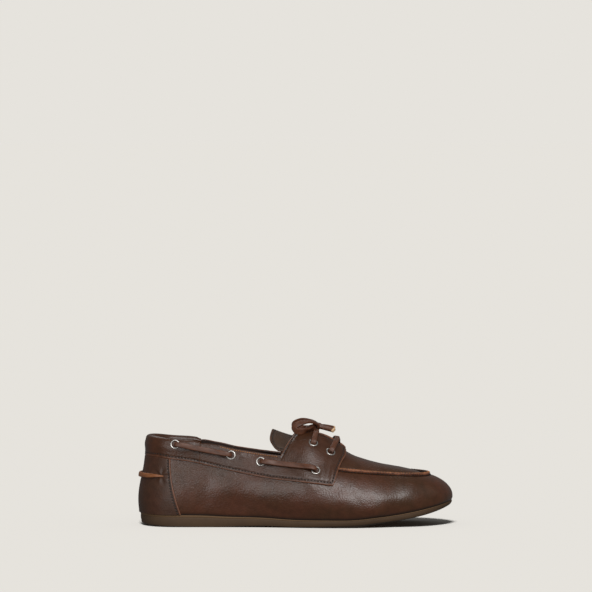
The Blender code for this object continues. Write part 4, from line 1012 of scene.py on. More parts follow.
def heel_lace_girth(side, station):
    """The girth at which the heel's thong runs, a little higher towards its slits."""
    level = COLLAR_HEIGHT * HEEL_LACE_HEIGHT
    return girth_at_height(side, station, lambda x: level + HEEL_LACE_DIP * (x - HEEL_CENTRE * 0.1))


def slit_point(side):
    station = np.array([HEEL_LACE_END * LENGTH])
    return leather(side, station, heel_lace_girth(side, station), COUNTER_THICKNESS)[0]


def puckers(side, points):
    """A dent at the slit with shallow rays round it: a bell times the cosine of several times the angle."""
    slit = slit_point(side)
    x, z = points[..., 0] - slit[0], points[..., 2] - slit[2]
    away = np.hypot(0.7 * x, z)
    rays = np.cos(PUCKER_RAYS * np.arctan2(z, -x)) * bell(away - 0.6 * PUCKER_REACH, 0.6 * PUCKER_REACH)
    return SLIT_PUCKER * rays - 1.1 * SLIT_PUCKER * bell(z, 1.6 * MM) * bell(x, 4 * MM)


def counter_front(up):
    return LENGTH * smooth(COUNTER_FRONT, up)


HATCH_STEP = 5
counter_skins = {"outer": [], "inner": [], "wear": [], "soil": []}
counter_rows = []
for side in SIDES:
    station, girth, from_ends, from_bottom, from_top = strip(
        side, lambda up: HEEL_END + 0 * up, counter_front, lambda s, st: np.full_like(st, COUNTER_FOOT),
        lambda s, st: girth_at_height(s, st, lambda x: band_line(x) + 1.2 * MM), counter_front(0.5) - HEEL_END,
        52 * MM, 40, 36, start=False)
    base, normal = last(side, station, girth), outward(side, station, girth)
    thin = np.clip(from_top / (2 * MM), 0.35, 1)
    lift, nearest = edge_profile((OVERLAY_GAP + COUNTER_THICKNESS) * thin, from_ends)
    waved = relief(side, base) * eased(from_bottom / (4 * MM) + 0.35) + puckers(side, base)
    outer = base + (lift + waved)[..., None] * normal
    inner = base + (0.3 * UNDER_LIFT + waved)[..., None] * normal
    counter_skins["outer"].append(outer)
    counter_skins["inner"].append(inner)
    counter_skins["wear"].append(edge_wear(nearest))
    # Painted shade: a faint darkening along the groove of the slanted stitches.
    counter_skins["soil"].append(0.12 * bell(nearest - EDGE_STEPS[HATCH_STEP], 1.1 * MM))
    counter_rows.append(stitch_row(outer[-1 - HATCH_STEP, :-3], normal[-1 - HATCH_STEP, :-3], pitch=2.4 * MM,
                                   length=3.2 * MM, width=0.95 * MM, height=0.6 * MM, turn=-side * 48))
for key in ("outer", "inner"):
    share_mean(*counter_skins[key], 0)
counter = make_shell("counter_panel", counter_skins["outer"], counter_skins["inner"],
                     (counter_leather, raw_edge, lining),
                     {"wear": counter_skins["wear"], "soil": counter_skins["soil"]}, bevel=0.15 * MM)
finish_piece(counter, "leather", "heel_counter")
make_stitches("counter_thread", counter_rows, dark_thread)

# %% [markdown]
# ## Tongue
# A single arched flap under the facings. Its free end shows behind them, with one row of thread
# round it.

# %% Tongue
TONGUE_BACK = 0.42 * LENGTH


def tongue_grid(side, lift, extra=0.0):
    """One skin of the flap with its normals, wear and painted shade. extra is 1 where the edge and seam show."""
    across = np.concatenate([1 - EDGE_STEPS / (0.5 * TONGUE_WIDTH), np.linspace(0.82, 0.0, 16)])[None, :]
    back = LENGTH * smooth(TONGUE_END, across)
    reach = edge_spaced(TONGUE_FRONT * LENGTH - TONGUE_BACK, 46, True, False)
    along = (reach / reach[-1])[:, None]
    station = back + along * (TONGUE_FRONT * LENGTH - back)
    low = girth_at_width(side, station, 0.5 * TONGUE_WIDTH)
    girth = 2 - across * (2 - low)
    from_edge = (1 - across) * 0.5 * TONGUE_WIDTH + 0 * station
    from_end = reach[:, None] + 0 * station
    nearest = np.minimum(from_edge, from_end)
    drop = extra * (0.25 * MM * np.exp(-nearest / (0.45 * MM)) + SEAM_GROOVE * 0.7 * bell(
        nearest - EDGE_STEPS[SEAM_STEP], GROOVE_WIDTH))
    points = last(side, station, girth)
    normal = outward(side, station, girth)
    waved = 0.6 * relief(side, points)
    points = points + (lift - drop + waved)[..., None] * normal
    return points, normal, 0.45 * edge_wear(nearest), seam_groove_shade(nearest)


tongue_top = [tongue_grid(side, -WALL - TONGUE_GAP, 1.0) for side in SIDES]
tongue_under = [tongue_grid(side, -WALL - TONGUE_GAP - TONGUE_THICKNESS) for side in SIDES]
for layer in (tongue_top, tongue_under):
    share_mean(layer[0][0], layer[1][0], np.s_[:, -1])
tongue = make_shell("tongue_flap", [grid[0] for grid in tongue_top], [grid[0] for grid in tongue_under],
                    (tongue_leather, raw_edge, lining),
                    {"wear": [grid[2] for grid in tongue_top], "soil": [grid[3] for grid in tongue_top]},
                    bevel=0.2 * MM)
finish_piece(tongue, "leather", "tongue")
k = SEAM_STEP
tongue_rows = []
for side, (grid, normal, _, _) in zip(SIDES, tongue_top):
    path = np.concatenate([grid[k, k:][::-1], grid[k + 1:, k]])
    normals = np.concatenate([normal[k, k:][::-1], normal[k + 1:, k]])
    tongue_rows.append(stitch_row(path, normals))
make_stitches("tongue_thread", tongue_rows, dark_thread)

# %% [markdown]
# ## Raised toe seam
# On a moccasin the edges of the plug and of the wall stand up together and are sewn through. What
# shows is a thick ridge of two cut edges, pinched at each stitch. Its section is carried along the
# last's shoulder line from one facing round the toe to the other, and swells between stitches.

# %% Sweeps
def swept(path, up, section_points, scale=None, closed_ends=True):
    """Carries a closed section along a path. The section's points are (across, out), out follows up, and
    scale multiplies (across, out) at each point of the path."""
    tangent = unit(np.gradient(path, axis=0))
    out = unit(up - (up * tangent).sum(axis=1, keepdims=True) * tangent)
    across = np.cross(tangent, out)
    scale = np.ones((len(path), 2)) if scale is None else scale
    flat = section_points[None, :, :] * scale[:, None, :]
    grid = path[:, None] + flat[..., :1] * across[:, None] + flat[..., 1:] * out[:, None]
    grid[:, -1] = grid[:, 0]
    if not closed_ends:
        return grid
    middle = flat.mean(axis=1)
    centre = path + middle[:, :1] * across + middle[:, 1:] * out
    first = centre[:1, None] + 0 * grid[:1]
    final = centre[-1:, None] + 0 * grid[-1:]
    return np.concatenate([first, grid, final])


def rounded_section(width, height, points=24, squareness=4.0):
    """A superellipse: a rectangle whose corners are rounded by the power."""
    t = np.linspace(0, 2 * math.pi, points + 1)
    c, s = np.cos(t), np.sin(t)
    power = 2 / squareness
    across, out = np.sign(c) * np.abs(c) ** power, np.sign(s) * np.abs(s) ** power
    return np.stack([0.5 * width * across, 0.5 * height * out], 1)


# %% Toe seam
RIDGE_WIDTH, RIDGE_TOP, RIDGE_ROOT = 2.5 * MM, 1.45 * MM, 0.9 * MM
RIDGE_TIP_RISE = 0.3 * MM
RIDGE_BACK = 0.632 * LENGTH
ridge_stations = evenly(RIDGE_BACK, TOE_END, 0.45 * MM)


def shoulder_line(across=0.0, lift=0.0):
    """The seam's line from the outer facing round the toe to the inner one, moved across and lifted."""
    halves, normals = [], []
    for side in SIDES:
        girth = np.full_like(ridge_stations, 1.0)
        girth = girth + across / speed(side, ridge_stations, girth)
        halves.append(leather(side, ridge_stations, girth, lift))
        normals.append(outward(side, ridge_stations, girth))
    tip = 0.5 * (halves[0][-1] + halves[1][-1])
    path = np.concatenate([halves[0][:-1], [tip], halves[1][:-1][::-1]])
    up = np.concatenate([normals[0][:-1], normals[0][-1:], normals[1][:-1][::-1]])
    return path, up


path, up = shoulder_line()
reach = np.concatenate([[0], np.cumsum(np.linalg.norm(np.diff(path, axis=0), axis=1))])
pinch = np.cos(2 * math.pi * reach / STITCH_PITCH)
tip_share = eased((path[:, 0] + HEEL_SEAT - 0.78 * LENGTH) / (0.12 * LENGTH))
uneven = waves(path, 6 * MM, 11)
ridge_scale = np.stack([1 + 0.07 * pinch + 0.05 * uneven, 1 + 0.06 * pinch + 0.05 * uneven], axis=1)
profile = rounded_section(RIDGE_WIDTH, RIDGE_TOP + RIDGE_ROOT, 28, 3.2)
notch = 0.22 * MM * bell(profile[:, 0], 0.35 * MM) * (profile[:, 1] > 0)
profile = profile - np.stack([0 * notch, notch], axis=1)
middle_lift = 0.5 * (RIDGE_TOP - RIDGE_ROOT)
ridge_path = path + (middle_lift + RIDGE_TIP_RISE * tip_share)[:, None] * up
# Painted shade: the ridge's inner side is darkened to near black.
inner_side = eased(-profile[:, 0] / (0.25 * RIDGE_WIDTH) - 0.3)
ridge_painted_shade = np.broadcast_to(0.9 * inner_side, (len(ridge_path) + 2, len(profile)))
ridge = make_closed("toe_seam_ridge", [swept(ridge_path, up, profile, ridge_scale)], (ridge_edge,),
                    {"soil": [ridge_painted_shade]}, sharp=70)
finish_piece(ridge, "leather")
outer_foot, foot_up = shoulder_line(-1.7 * MM, 0.0)
inner_foot, inner_up = shoulder_line(2.0 * MM, -0.3 * MM)
top_row = ridge_path + (0.5 * (RIDGE_TOP + RIDGE_ROOT) - 0.05 * MM) * up
make_stitches("toe_seam_thread", [
    stitch_row(outer_foot, foot_up, length=1.9 * MM, width=0.7 * MM),
    stitch_row(inner_foot, inner_up, length=1.9 * MM, width=0.7 * MM),
], dark_thread)
make_stitches("toe_seam_whip", [
    stitch_row(top_row, up, pitch=0.5 * STITCH_PITCH, length=2.1 * MM, width=0.42 * MM, height=0.4 * MM,
               turn=70, sink=0.45)], tan_thread)

# %% [markdown]
# ## Outsole
# A thin cup of brown moulded rubber. Its side is smooth with a fine lip under the upper, it rounds
# under towards the tread, and shallow zigzag sipes cross the tread. It is a section of a side and
# an underside, carried round the last's own sole line.

# %% Sole material
BLOOM, PEEL = 12 * MM, 0.6 * MM


def rubber_material(name, light, dark, roughness):
    """Moulded rubber: an even colour with a faint bloom and the fine orange peel of the mould. The attribute lip
    paints a highlight along the top lip and shade where the side turns under.
    """
    made, tree, place = start_material(name, IOR=1.5, Roughness=roughness)
    bloom = add(tree, "TexNoise", None, {"Vector": place, "Scale": 1 / BLOOM, "Detail": 4.0})
    peel = add(tree, "TexNoise", None, {"Vector": place, "Scale": 1 / PEEL, "Detail": 3.0})
    lip = add(tree, "Attribute", {"attribute_name": "lip"}, output="Fac")
    mixed = add(tree, "Math", {"operation": "MULTIPLY_ADD"}, {0: bloom, 1: 0.5, 2: lip})
    colour = add(tree, "Mix", RGBA, {0: mixed, 6: linear(dark), 7: linear(light)}, BLENDED)
    bump = add(tree, "Bump", None, {"Height": peel, "Strength": 0.25, "Distance": 0.08 * MM})
    return wired(made, Base_Color=colour, Normal=bump)


sole_rubber = rubber_material("rubber_moulded_brown", "#644a2f", "#402d1b", 0.76)

# %% Outsole
SIPE_PITCH, SIPE_WIDTH, SIPE_DEPTH, SIPE_ZIGZAG = 6.5 * MM, 1.1 * MM, 0.7 * MM, 1.6 * MM
sipe_starts = np.arange(HEEL_CENTRE + 4 * MM, TOE_CENTRE - 4 * MM, SIPE_PITCH)
sipe_columns = (sipe_starts[:, None] + np.array([0, 0.25, 0.75, 1.0]) * SIPE_WIDTH).ravel()
sole_stations = np.unique(np.concatenate([evenly(HEEL_END, TOE_END, 1.4 * MM), sipe_columns]))
in_sipe = np.zeros_like(sole_stations)
for start in sipe_starts:
    in_sipe = np.maximum(in_sipe, (np.abs(sole_stations - start - 0.5 * SIPE_WIDTH) < 0.3 * SIPE_WIDTH) * 1.0)
SIDE_KNOTS = np.array([0.0, 0.22, 0.45, 0.66, 1.0])
SIDE_INSETS = np.array([1.0, 0.45, 0.17, 0.03, 0.0]) * TREAD_MARGIN
SIDE_RISES = np.array([0.0, 0.22, 0.62, 1.0, 1.0])
side_shares = np.concatenate([
    np.linspace(0, 0.66, 14), np.linspace(0.70, 0.88, 5), [0.90, 0.915, 0.93, 0.95, 0.975, 1.0]])
LIP_OUT, LIP_GROOVE = 0.18 * MM, 0.22 * MM


def sole_grid(side):
    """Rows from the underside's middle line, out to the tread's edge, up the side, and back over the top."""
    along, middle, forward, sideways = frame_at(side, sole_stations)
    edge = section["edge_out" if side == LATERAL else "edge_in"](sole_stations)

    def place(r, height_of, shift=0.0):
        x = along + forward * r
        return np.stack([x + shift - HEEL_SEAT, middle + sideways * r, height_of(x)], axis=-1)

    columns, painted_light_and_shade = [], []
    tread = edge - TREAD_MARGIN
    for share in np.linspace(0, 1, 13):
        fade = (share < 0.96) * 1.0
        zigzag = SIPE_ZIGZAG * (np.abs((share * 6) % 2 - 1) - 0.5) * fade
        inside = (sole_stations > HEEL_CENTRE) & (sole_stations < TOE_CENTRE)
        depth = SIPE_DEPTH * in_sipe * fade
        columns.append(place(share * tread, lambda x: underside(x) + depth, zigzag * inside))
        painted_light_and_shade.append(0 * edge)
    for share in side_shares[1:]:
        inset = flowing(SIDE_KNOTS, SIDE_INSETS, share)
        lip = LIP_OUT * eased((share - 0.92) / 0.02) * eased((1.0 - share) / 0.03 + 0.3)
        groove = LIP_GROOVE * bell(share - 0.91, 0.015)
        rise = min(flowing(SIDE_KNOTS, SIDE_RISES, share), 1.0)
        turned = min(share / 0.66, 1.0)
        above = max(0.0, (share - 0.55) / 0.45)

        def height_of(x):
            low = underside(x) + rise * edge_lift(x) * (1 - above)
            return low + above * (sole_top(x) - underside(x))

        columns.append(place(edge - inset + lip - groove, height_of))
        # Painted light: the lip's rows are lightened as a painted highlight, and the rows that turn under are
        # darkened as painted shade.
        painted_light_and_shade.append(0 * edge + 0.8 * eased((share - 0.90) / 0.04) - 0.35 * (1 - turned))
    for share in np.linspace(0.96, 0, 5):
        columns.append(place(share * edge, sole_top))
        painted_light_and_shade.append(0 * edge)
    return np.stack(columns, axis=1), np.stack(painted_light_and_shade, axis=1)


(sole_lateral, painted_light_and_shade_lateral), (sole_medial, painted_light_and_shade_medial) = (sole_grid(side) for side in SIDES)
join_sides(sole_lateral, sole_medial)
outsole = make_closed("outsole_cup", [sole_lateral, sole_medial], (sole_rubber,),
                      {"lip": [painted_light_and_shade_lateral, painted_light_and_shade_medial]}, sharp=35)
finish_piece(outsole, "sole", "outsole")

# %% [markdown]
# ## Insole
# The sock that the foot stands on: soft leather over a thin foam, dished a little at the heel and
# turned up at its edge.

# %% Insole
insole_leather = fibre_material("leather_sock_lining", "#6a4830", "#523521", 0.6, 1.2 * MM, 0.06 * MM)
insole_stations = evenly(HEEL_END, TOE_END, 2.0 * MM)


def insole_grid(side):
    """Rows out over the dished top, round the soft edge and back along the flat underside."""
    along, middle, forward, sideways = frame_at(side, insole_stations)
    inside = leather(side, insole_stations, INSOLE_GIRTH, -WALL - INSOLE_PLAY)
    edge = np.hypot(inside[:, 0] + HEEL_SEAT - along, inside[:, 1] - middle)
    rows = []
    top = [(share, 0.0, 0.75 + 0.25 * share**3) for share in np.linspace(0, 0.97, 14)]
    side_rows = [(1.0, 0.35 * MM, 0.99), (1.0, 0.0, 0.80), (1.0, 0.0, 0.35), (1.0, 0.3 * MM, 0.05)]
    under = [(share, 0.5 * MM, 0.0) for share in np.linspace(1, 0, 4)]
    for share, inset, rise in top + side_rows + under:
        r = share * (edge - inset)
        x = along + forward * r
        height = sole_top(x) + GAP + rise * INSOLE_THICKNESS
        rows.append(np.stack([x - HEEL_SEAT, middle + sideways * r, height], -1))
    return np.stack(rows, axis=1)


insole_grids = [insole_grid(side) for side in SIDES]
join_sides(*insole_grids)
insole = make_closed("insole_sock", insole_grids, (insole_leather,), sharp=60)
finish_piece(insole, "insole", "insole")

# %% [markdown]
# ## Eyelets
# Nickel-plated brass tubes with a rolled flange. A turned section about the hole's axis, as on a
# lathe, gives the roll that catches a bright arc of light.

# %% Nickel and eyelets
def nickel_material():
    """Plated brass: bright and slightly warm, dulled by fine rubbing."""
    made, tree, place = start_material("nickel_plated_brass", Metallic=1.0)
    rub = add(tree, "TexNoise", None, {"Vector": place, "Scale": 1 / (0.8 * MM), "Detail": 4.0})
    colour = add(tree, "Mix", RGBA, {0: rub, 6: linear("#b9b5af"), 7: linear("#d2cfca")}, BLENDED)
    gloss = add(tree, "MapRange", None, {"Value": rub, "To Min": 0.30, "To Max": 0.42})
    return wired(made, Base_Color=colour, Roughness=gloss)


nickel = nickel_material()
TURNS = 40
EYELET_ROLL = 1.35 * MM  # the flange's rolled rim, across


def turned_ring(centre, normal, radii_heights):
    """Turns a closed section of (radius, height) about the normal through the centre."""
    helper = np.array([1.0, 0.0, 0.0])
    a = unit(helper - (helper @ normal) * normal)
    b = np.cross(normal, a)
    angle = np.linspace(0, 2 * math.pi, TURNS + 1)
    angle[-1] = 0.0
    spoke = np.cos(angle)[:, None] * a + np.sin(angle)[:, None] * b
    radius, height = np.asarray(radii_heights).T
    return centre + radius[None, :, None] * spoke[:, None, :] + height[None, :, None] * normal


def make_eyelet(name, side, station, girth):
    """A flange with a rolled rim, a tube down through the leather and a small funnel. Gives the point and
    the normal at which a lace comes out."""
    normal = outward(side, station, girth)[0]
    top, bottom = opening_edge(side, station), band_low(side, station)
    on_band = station[0] > COLLAR_SEAM * LENGTH
    layer = band_thickness(station, (girth - bottom) / (top - bottom))[0] if on_band else COLLAR_THICKNESS
    lift = OVERLAY_GAP + float(layer)
    flat = leather(side, station, girth, lift)[0]
    sunk = flat + float(relief(side, last(side, station, girth))[0]) * normal
    hole, flange, barrel = 0.5 * EYELET_HOLE, 0.5 * EYELET_FLANGE, 0.5 * EYELET_BARREL
    roll = np.linspace(0, math.pi, 11)
    crest = flange - 0.5 * EYELET_ROLL
    rim = 0.25 * MM + (EYELET_RISE - 0.25 * MM) * np.sin(roll)
    over = np.stack([crest - 0.5 * EYELET_ROLL * np.cos(roll), rim], 1)
    under = [(flange, 0.05 * MM), (barrel, 0.05 * MM), (barrel, -lift - WALL), (hole, -lift - WALL)]
    funnel = [(hole, -1.0 * MM), (hole + 0.15 * MM, -0.2 * MM), (hole + 0.55 * MM, 0.12 * MM)]
    ring = turned_ring(sunk, normal, np.concatenate([over, under, funnel, over[:1]]))
    piece = make_closed(f"ring_{name}_{SIDE_NAMES[side]}", [ring], (nickel,), sharp=60)
    finish_piece(piece, "nickel", f"eyelet_{name}_{SIDE_NAMES[side]}")
    return flat, normal


eyelets = {(name, side): make_eyelet(name, side, station, girth)
           for (name, side), (_, station, girth) in eyelet_places.items()}

# %% [markdown]
# ## Rawhide lace
# One thong of rawhide, cut square, threads the collar, crosses the throat twice and is tied. Its
# flat sides take a soft shine and its cut ends are paler. A round tube would look like cord, so
# a rounded square is carried along each path, and its flat side faces away from the leather.

# %% Rawhide material
def rawhide_material(name, light, dark, cut):
    """A dyed thong: streaks along it from the attribute along, pale where the attribute cut is high."""
    made, tree, place = start_material(name, IOR=1.46, Coat_Weight=0.05, Coat_Roughness=0.3, Roughness=0.48)
    along = add(tree, "Attribute", {"attribute_name": "along"}, output="Fac")
    around = add(tree, "Attribute", {"attribute_name": "around"}, output="Fac")
    spot = add(tree, "CombineXYZ", None, {"X": along, "Y": around})
    streak = add(tree, "TexNoise", None, {"Vector": spot, "Scale": 1.0, "Detail": 4.0, "Roughness": 0.6})
    fine = add(tree, "TexNoise", None, {"Vector": place, "Scale": 1 / (0.7 * MM), "Detail": 3.0})
    both = add(tree, "Math", {"operation": "MULTIPLY_ADD"}, {0: fine, 1: 0.5, 2: streak})
    share = add(tree, "MapRange", None, {"Value": both, "From Min": 0.5, "From Max": 1.0})
    body = add(tree, "Mix", RGBA, {0: share, 6: linear(dark), 7: linear(light)}, BLENDED)
    pale = add(tree, "Attribute", {"attribute_name": "cut"}, output="Fac")
    colour = add(tree, "Mix", RGBA, {0: pale, 6: body, 7: linear(cut)}, BLENDED)
    bump = add(tree, "Bump", None, {"Height": both, "Strength": 0.35, "Distance": 0.1 * MM})
    return wired(made, Base_Color=colour, Normal=bump)


rawhide = rawhide_material("rawhide_dyed_thong", "#6b4029", "#402315", "#d9b48c")
heel_rawhide = rawhide_material("rawhide_worn_thong", "#a5693f", "#6e3f24", "#d9b48c")
LACE_WIDE, LACE_THICK = 4.5 * MM, 2.3 * MM
lace_section = rounded_section(LACE_WIDE, LACE_THICK, 24, 4.5)


def through(points, count):
    """count points, evenly spaced, on a smooth curve through the given ones."""
    points = np.asarray(points, float)
    reach = np.concatenate([[0], np.cumsum(np.linalg.norm(np.diff(points, axis=0), axis=1))])
    fine = np.linspace(0, reach[-1], 20 * len(points))
    dense = np.stack([flowing(reach, points[:, k], fine) for k in range(3)], axis=1)
    length = np.concatenate([[0], np.cumsum(np.linalg.norm(np.diff(dense, axis=0), axis=1))])
    even = np.linspace(0, length[-1], count)
    return np.stack([np.interp(even, length, dense[:, k]) for k in range(3)], axis=1)


def make_lace(name, path, up, nodes, material=rawhide, section_points=lace_section, cut_end=False, scale=None):
    """A thong along a path. Its ends are capped flat, and a cut end is pale."""
    grid = swept(path, up, section_points, scale)
    reach = np.concatenate([[0], np.cumsum(np.linalg.norm(np.diff(path, axis=0), axis=1))])
    reach = np.concatenate([reach[:1], reach, reach[-1:]])
    along = (reach / (9 * MM))[:, None] + 0 * grid[..., 0]
    around = np.linspace(0, 9, grid.shape[1])[None, :] + 0 * grid[..., 0]
    cut = np.zeros(grid.shape[:2])
    if cut_end:
        cut[-4:] = 1.0
    made = make_closed(name, [grid], (material,), {"along": [along], "around": [around], "cut": [cut]},
                       sharp=50, bevel=0.15 * MM if cut_end else 0.0)
    return finish_piece(made, "rawhide", *nodes)


# %% Strands outside the collar
half = 0.5 * LACE


def make_strand(side, rear, front):
    """A thong that comes up through one eyelet, lies along the collar and goes down through the next."""
    (a, up_a), (b, up_b) = eyelets[rear, side], eyelets[front, side]
    run = (b - a) / np.linalg.norm(b - a)
    over = half + EYELET_RISE + 2 * GAP
    shares = np.array([0.3, 0.5, 0.7])
    station = a[0] + HEEL_SEAT + shares * (b[0] - a[0])
    height = a[2] + shares * (b[2] - a[2]) - STRAND_SAG
    girth = np.concatenate([
        girth_at_height(side, station[k:k + 1], lambda x: height[k] + 0 * x) for k in range(3)])
    face = np.where(station < COLLAR_SEAM * LENGTH + LACE, COLLAR_THICKNESS, BAND_THICKNESS)
    between = leather(side, station, girth, OVERLAY_GAP + face + half + 1.5 * GAP)
    path = through([
        a - 1.1 * half * up_a, a + 0.5 * half * up_a, a + 0.8 * over * up_a + 0.35 * half * run,
        a + over * up_a + 1.6 * half * run, *between, b + over * up_b - 1.6 * half * run,
        b + 0.8 * over * up_b - 0.35 * half * run, b + 0.5 * half * up_b, b - 1.1 * half * up_b,
    ], 60)
    t = np.linspace(0, 1, len(path))[:, None]
    dive = bell(t, 0.06) * -run + bell(t - 1, 0.06) * run
    squeeze = 1 - 0.22 * (bell(t, 0.13) + bell(t - 1, 0.13)) - 0.2 * (bell(t, 0.05) + bell(t - 1, 0.05))
    name = f"{rear.split('_')[1]}_to_{front.split('_')[1]}_{SIDE_NAMES[side]}"
    make_lace("thong_" + name, path, unit((1 - t) * up_a + t * up_b) + 2.2 * dive, ["lace_" + name],
              scale=squeeze * np.ones((1, 2)))


for side in SIDES:
    make_strand(side, "collar_rear", "collar_middle")
    make_strand(side, "collar_front", "collar_end")


# %% Bars across the throat
FRONT_BAR_DIP = 3.5 * MM


def facing_edge(side, x):
    station = np.array([x + HEEL_SEAT])
    return leather(side, station, opening_edge(side, station), OVERLAY_GAP + FACING_THICKNESS)[0]


def bar_path(name, lean, dip):
    """Out of one eyelet, over both facings' edges, and into the other; its middle stands lean in front."""
    left, right = [], []
    for side, path in ((LATERAL, left), (MEDIAL, right)):
        hole, up = eyelets[name, side]
        edge = facing_edge(side, hole[0] + 0.7 * lean) + np.array([0.0, 0.0, half + BAR_CLEARANCE])
        out = 0.55 * hole + 0.45 * edge + 1.7 * half * up
        path += [hole - 0.9 * half * up, hole + 1.1 * half * up, out, edge]
    middle = 0.5 * (left[-1] + right[-1]) + np.array([0.1 * lean, 0.0, -dip])
    return left + [middle] + right[::-1], middle


def make_bar(name, lean, dip):
    """A bar whose flat side turns from one facing's normal to straight up and on to the other's."""
    knots, middle = bar_path("facing_" + name, lean, dip)
    path = through(knots, 70)
    lateral_up, medial_up = (eyelets["facing_" + name, side][1] for side in SIDES)
    t = 2 * np.linspace(0, 1, len(path))[:, None]
    level = np.array([0.0, 0.0, 1.0])
    facing_out = np.where(t < 1, (1 - t) * lateral_up + t * level, (2 - t) * level + (t - 1) * medial_up)
    make_lace(f"thong_{name}_bar", path, unit(facing_out), [f"lace_{name}_bar"])
    return middle


make_bar("front", FRONT_BAR_LEAN, FRONT_BAR_DIP)
knot_middle = make_bar("rear", REAR_BAR_LEAN, BAR_DIP)

# %% [markdown]
# ## Knot, bow and ends
# The bow is a free cord: it has a real length and its own thickness, and it leaves the knot and
# comes back to it. The short ends are cut straight across, and the cut shows the pale hide.

# %% Knot, bow and ends
RIBBON_WIDE, RIBBON_THICK = 5.2 * MM, 2.1 * MM  # the bow's thong lies flat where it turns
KNOT_PATH = ((0.0, -1.5, 0.0), (0.1, -0.75, 0.1), (0.15, 0.0, 0.15), (0.1, 0.75, 0.1), (0.0, 1.5, 0.0))
LOOP_PATH = (
    (-0.0008, 0.0044, 0.0014), (-0.0040, 0.0082, 0.0034), (-0.0092, 0.0130, 0.0047),
    (-0.0152, 0.0172, 0.0035), (-0.0202, 0.0198, 0.0000), (-0.0180, 0.0200, -0.0030),
    (-0.0118, 0.0172, -0.0028), (-0.0068, 0.0108, -0.0018), (-0.0030, 0.0048, -0.0008),
)
END_PATH = (
    (0.0002, 0.0036, 0.0000), (0.0040, 0.0080, -0.0005), (0.0084, 0.0115, -0.0014),
    (0.0132, 0.0150, -0.0026),
)
knot = knot_middle + (half + KNOT_RADIUS + 2 * GAP) * np.array(KNOT_LEAN)
turn = through([knot + np.array(step) * KNOT_RADIUS for step in KNOT_PATH], 40)
knot_up = np.tile(np.array([0.3, 0.0, 1.0]), (len(turn), 1))
s = np.linspace(-1, 1, len(turn))
knot_scale = np.stack([1 + 0.12 * np.cos(3 * math.pi * s), 1 + 0.10 * np.cos(3 * math.pi * s + 1)], axis=1)
knot_scale *= (0.72 + 0.28 * np.sqrt(1 - s**4))[:, None]
make_lace("thong_knot", turn, knot_up, ["lace_knot"],
          section_points=rounded_section(2 * KNOT_RADIUS, 2 * KNOT_RADIUS, 28, 3.0), scale=knot_scale)

for side in SIDES:
    name = SIDE_NAMES[side]
    loop = through([knot + np.array((dx, side * dy, dz)) for dx, dy, dz in LOOP_PATH], 80)
    t = np.linspace(0, 1, len(loop))[:, None]
    turned = 2.2 * bell(t - 0.5, 0.2) + 0.9 * eased((t - 0.62) / 0.25)
    loop_up = unit(loop - loop.mean(axis=0)) + turned * np.array([-0.35, 0.9 * side, 0.1])
    made = make_lace("thong_loop_" + name, loop, loop_up, ["lace_loop_" + name],
                     section_points=rounded_section(RIBBON_WIDE, RIBBON_THICK, 24, 4.5))
    end = through([knot + np.array((dx, side * dy, dz)) for dx, dy, dz in END_PATH], 30)
    end_up = np.tile(np.array([0.2, side, 0.75]), (len(end), 1))
    make_lace("thong_end_" + name, end, end_up, ["lace_end_" + name], cut_end=True,
              scale=np.tile([0.9, 1.0], (len(end), 1)))

# %% Strand round the heel
lift = OVERLAY_GAP + COUNTER_THICKNESS + GAP + 0.5 * LACE * HEEL_LACE_FLAT
path, out = [], []
for side in SIDES:
    station = np.linspace((HEEL_LACE_END + 0.006) * LENGTH, HEEL_END, 13)
    if side == MEDIAL:
        station = station[-2::-1]
    girth = heel_lace_girth(side, station)
    sink = 2.3 * MM * eased((station / LENGTH - HEEL_LACE_END + 0.022) / 0.03)
    path.append(leather(side, station, girth, lift - sink))
    out.append(outward(side, station, girth))
path, out = np.concatenate(path), np.concatenate(out)
path, out = through(path, 80), unit(through(out, 80))
t = np.linspace(-1, 1, len(path))
taper = 0.25 + 0.75 * np.sqrt(1 - eased((np.abs(t) - 0.55) / 0.45)) + 0.12 * bell(t, 0.5)
make_lace("thong_heel", path, out, ["lace_heel"], heel_rawhide,
          rounded_section(3.7 * MM, LACE * HEEL_LACE_FLAT, 24, 3.5),
          scale=np.stack([taper, 0.5 + 0.5 * taper], axis=1))

# %% [markdown]
# ## Floor, light and background
# The photograph is a product shot on a seamless pale ground. A curved paper sweep would end
# somewhere behind the shoe and spoil other views, so the floor is flat and endless, and the sky is
# given the very colour that the floor takes under its lamp. In the photograph the ground's shadow
# and the leather's shine don't come from one lamp. So four soft lamps on the camera's side and a weak
# one behind light only the shoe, and one lights only the floor: each lamp is linked to a collection.
# The sky is dim, and the floor is kept out of reflections, or the leather would look milky.

# %% Lights
GROUND = "#e6e3dd"
SKY_STRENGTH = 0.17
# name, degrees round from the camera's side, height in degrees, width in degrees, strength
SHOE_LAMPS = (
    ("key", 18, 31, 26, 1.65),
    ("side", -25, 11, 24, 0.68),
    ("top", 24, 57, 28, 0.28),
    ("far", 75, 35, 28, 0.06),
    ("back", 200, 52, 30, 0.5),
)
FLOOR_LAMP = ("floor_key", -5, 47, 11, 5.5)


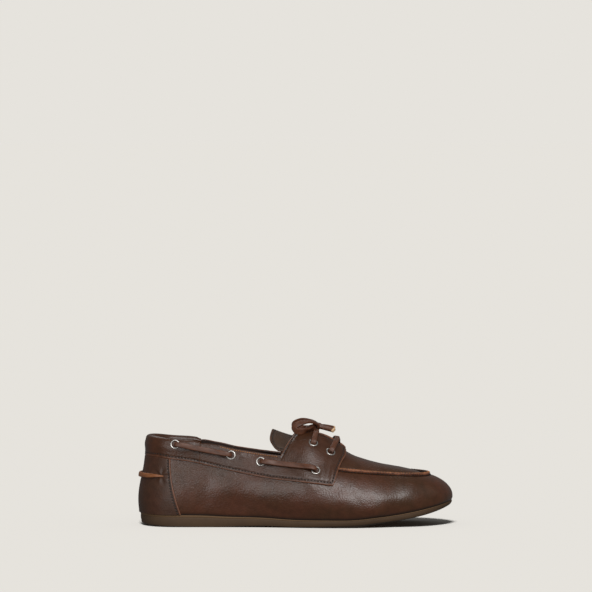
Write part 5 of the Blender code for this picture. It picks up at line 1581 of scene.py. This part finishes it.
def add_lamp(name, around, height, width, strength, lit):
    """A sun lamp that shines from that direction on the objects of one collection."""
    lamp = bpy.data.lights.new(name, "SUN")
    lamp.energy = strength
    lamp.angle = math.radians(width)
    made = bpy.data.objects.new(name, lamp)
    a, e = math.radians(around), math.radians(height)
    towards = Vector((math.sin(a) * math.cos(e), -math.cos(a) * math.cos(e), math.sin(e)))
    made.rotation_euler = towards.to_track_quat("Z", "Y").to_euler()
    made.light_linking.receiver_collection = lit
    bpy.context.scene.collection.objects.link(made)
    return strength * math.sin(e) / math.pi


shoe_pieces = bpy.data.collections.new("lit_shoe")
for piece in bpy.context.scene.collection.all_objects:
    if piece.type == "MESH":
        shoe_pieces.objects.link(piece)
floor_pieces = bpy.data.collections.new("lit_floor")
for lamp in SHOE_LAMPS:
    add_lamp(*lamp, shoe_pieces)
light_on_floor = SKY_STRENGTH + add_lamp(*FLOOR_LAMP, floor_pieces)
ground = np.array(linear(GROUND)[:3])
print("light on the floor:", round(light_on_floor, 3), "floor albedo:", (ground / light_on_floor).round(3))

# %% Sky and floor
world = bpy.data.worlds.new("studio")
bpy.context.scene.world = world
world.use_nodes = True
sky = world.node_tree
sky.nodes.clear()
seen = add(sky, "LightPath", output="Is Camera Ray")
plain = add(sky, "Background", None, {"Color": (*ground, 1.0), "Strength": 1.0})
fill = add(sky, "Background", None, {"Color": (1.0, 0.99, 0.97, 1.0), "Strength": SKY_STRENGTH})
mixed = add(sky, "MixShader", None, {0: seen, 1: fill, 2: plain})
add(sky, "OutputWorld", None, {"Surface": mixed})

FLOOR_REACH = 60.0
corner = np.array([(-1, -1, 0), (1, -1, 0), (1, 1, 0), (-1, 1, 0)]) * FLOOR_REACH
floor_data = bpy.data.meshes.new("floor")
floor_data.from_pydata(corner.tolist(), [], [(0, 1, 2, 3)])
paper, _, _ = start_material("paper_matt_pale", Roughness=1.0, Specular_IOR_Level=0.0,
                             Base_Color=(*(ground / light_on_floor), 1.0))
floor_data.materials.append(paper)
floor = bpy.data.objects.new("floor", floor_data)
bpy.context.scene.collection.objects.link(floor)
floor_pieces.objects.link(floor)
floor.visible_glossy = False
floor.visible_diffuse = False
bpy.context.scene.view_settings.view_transform = "Standard"
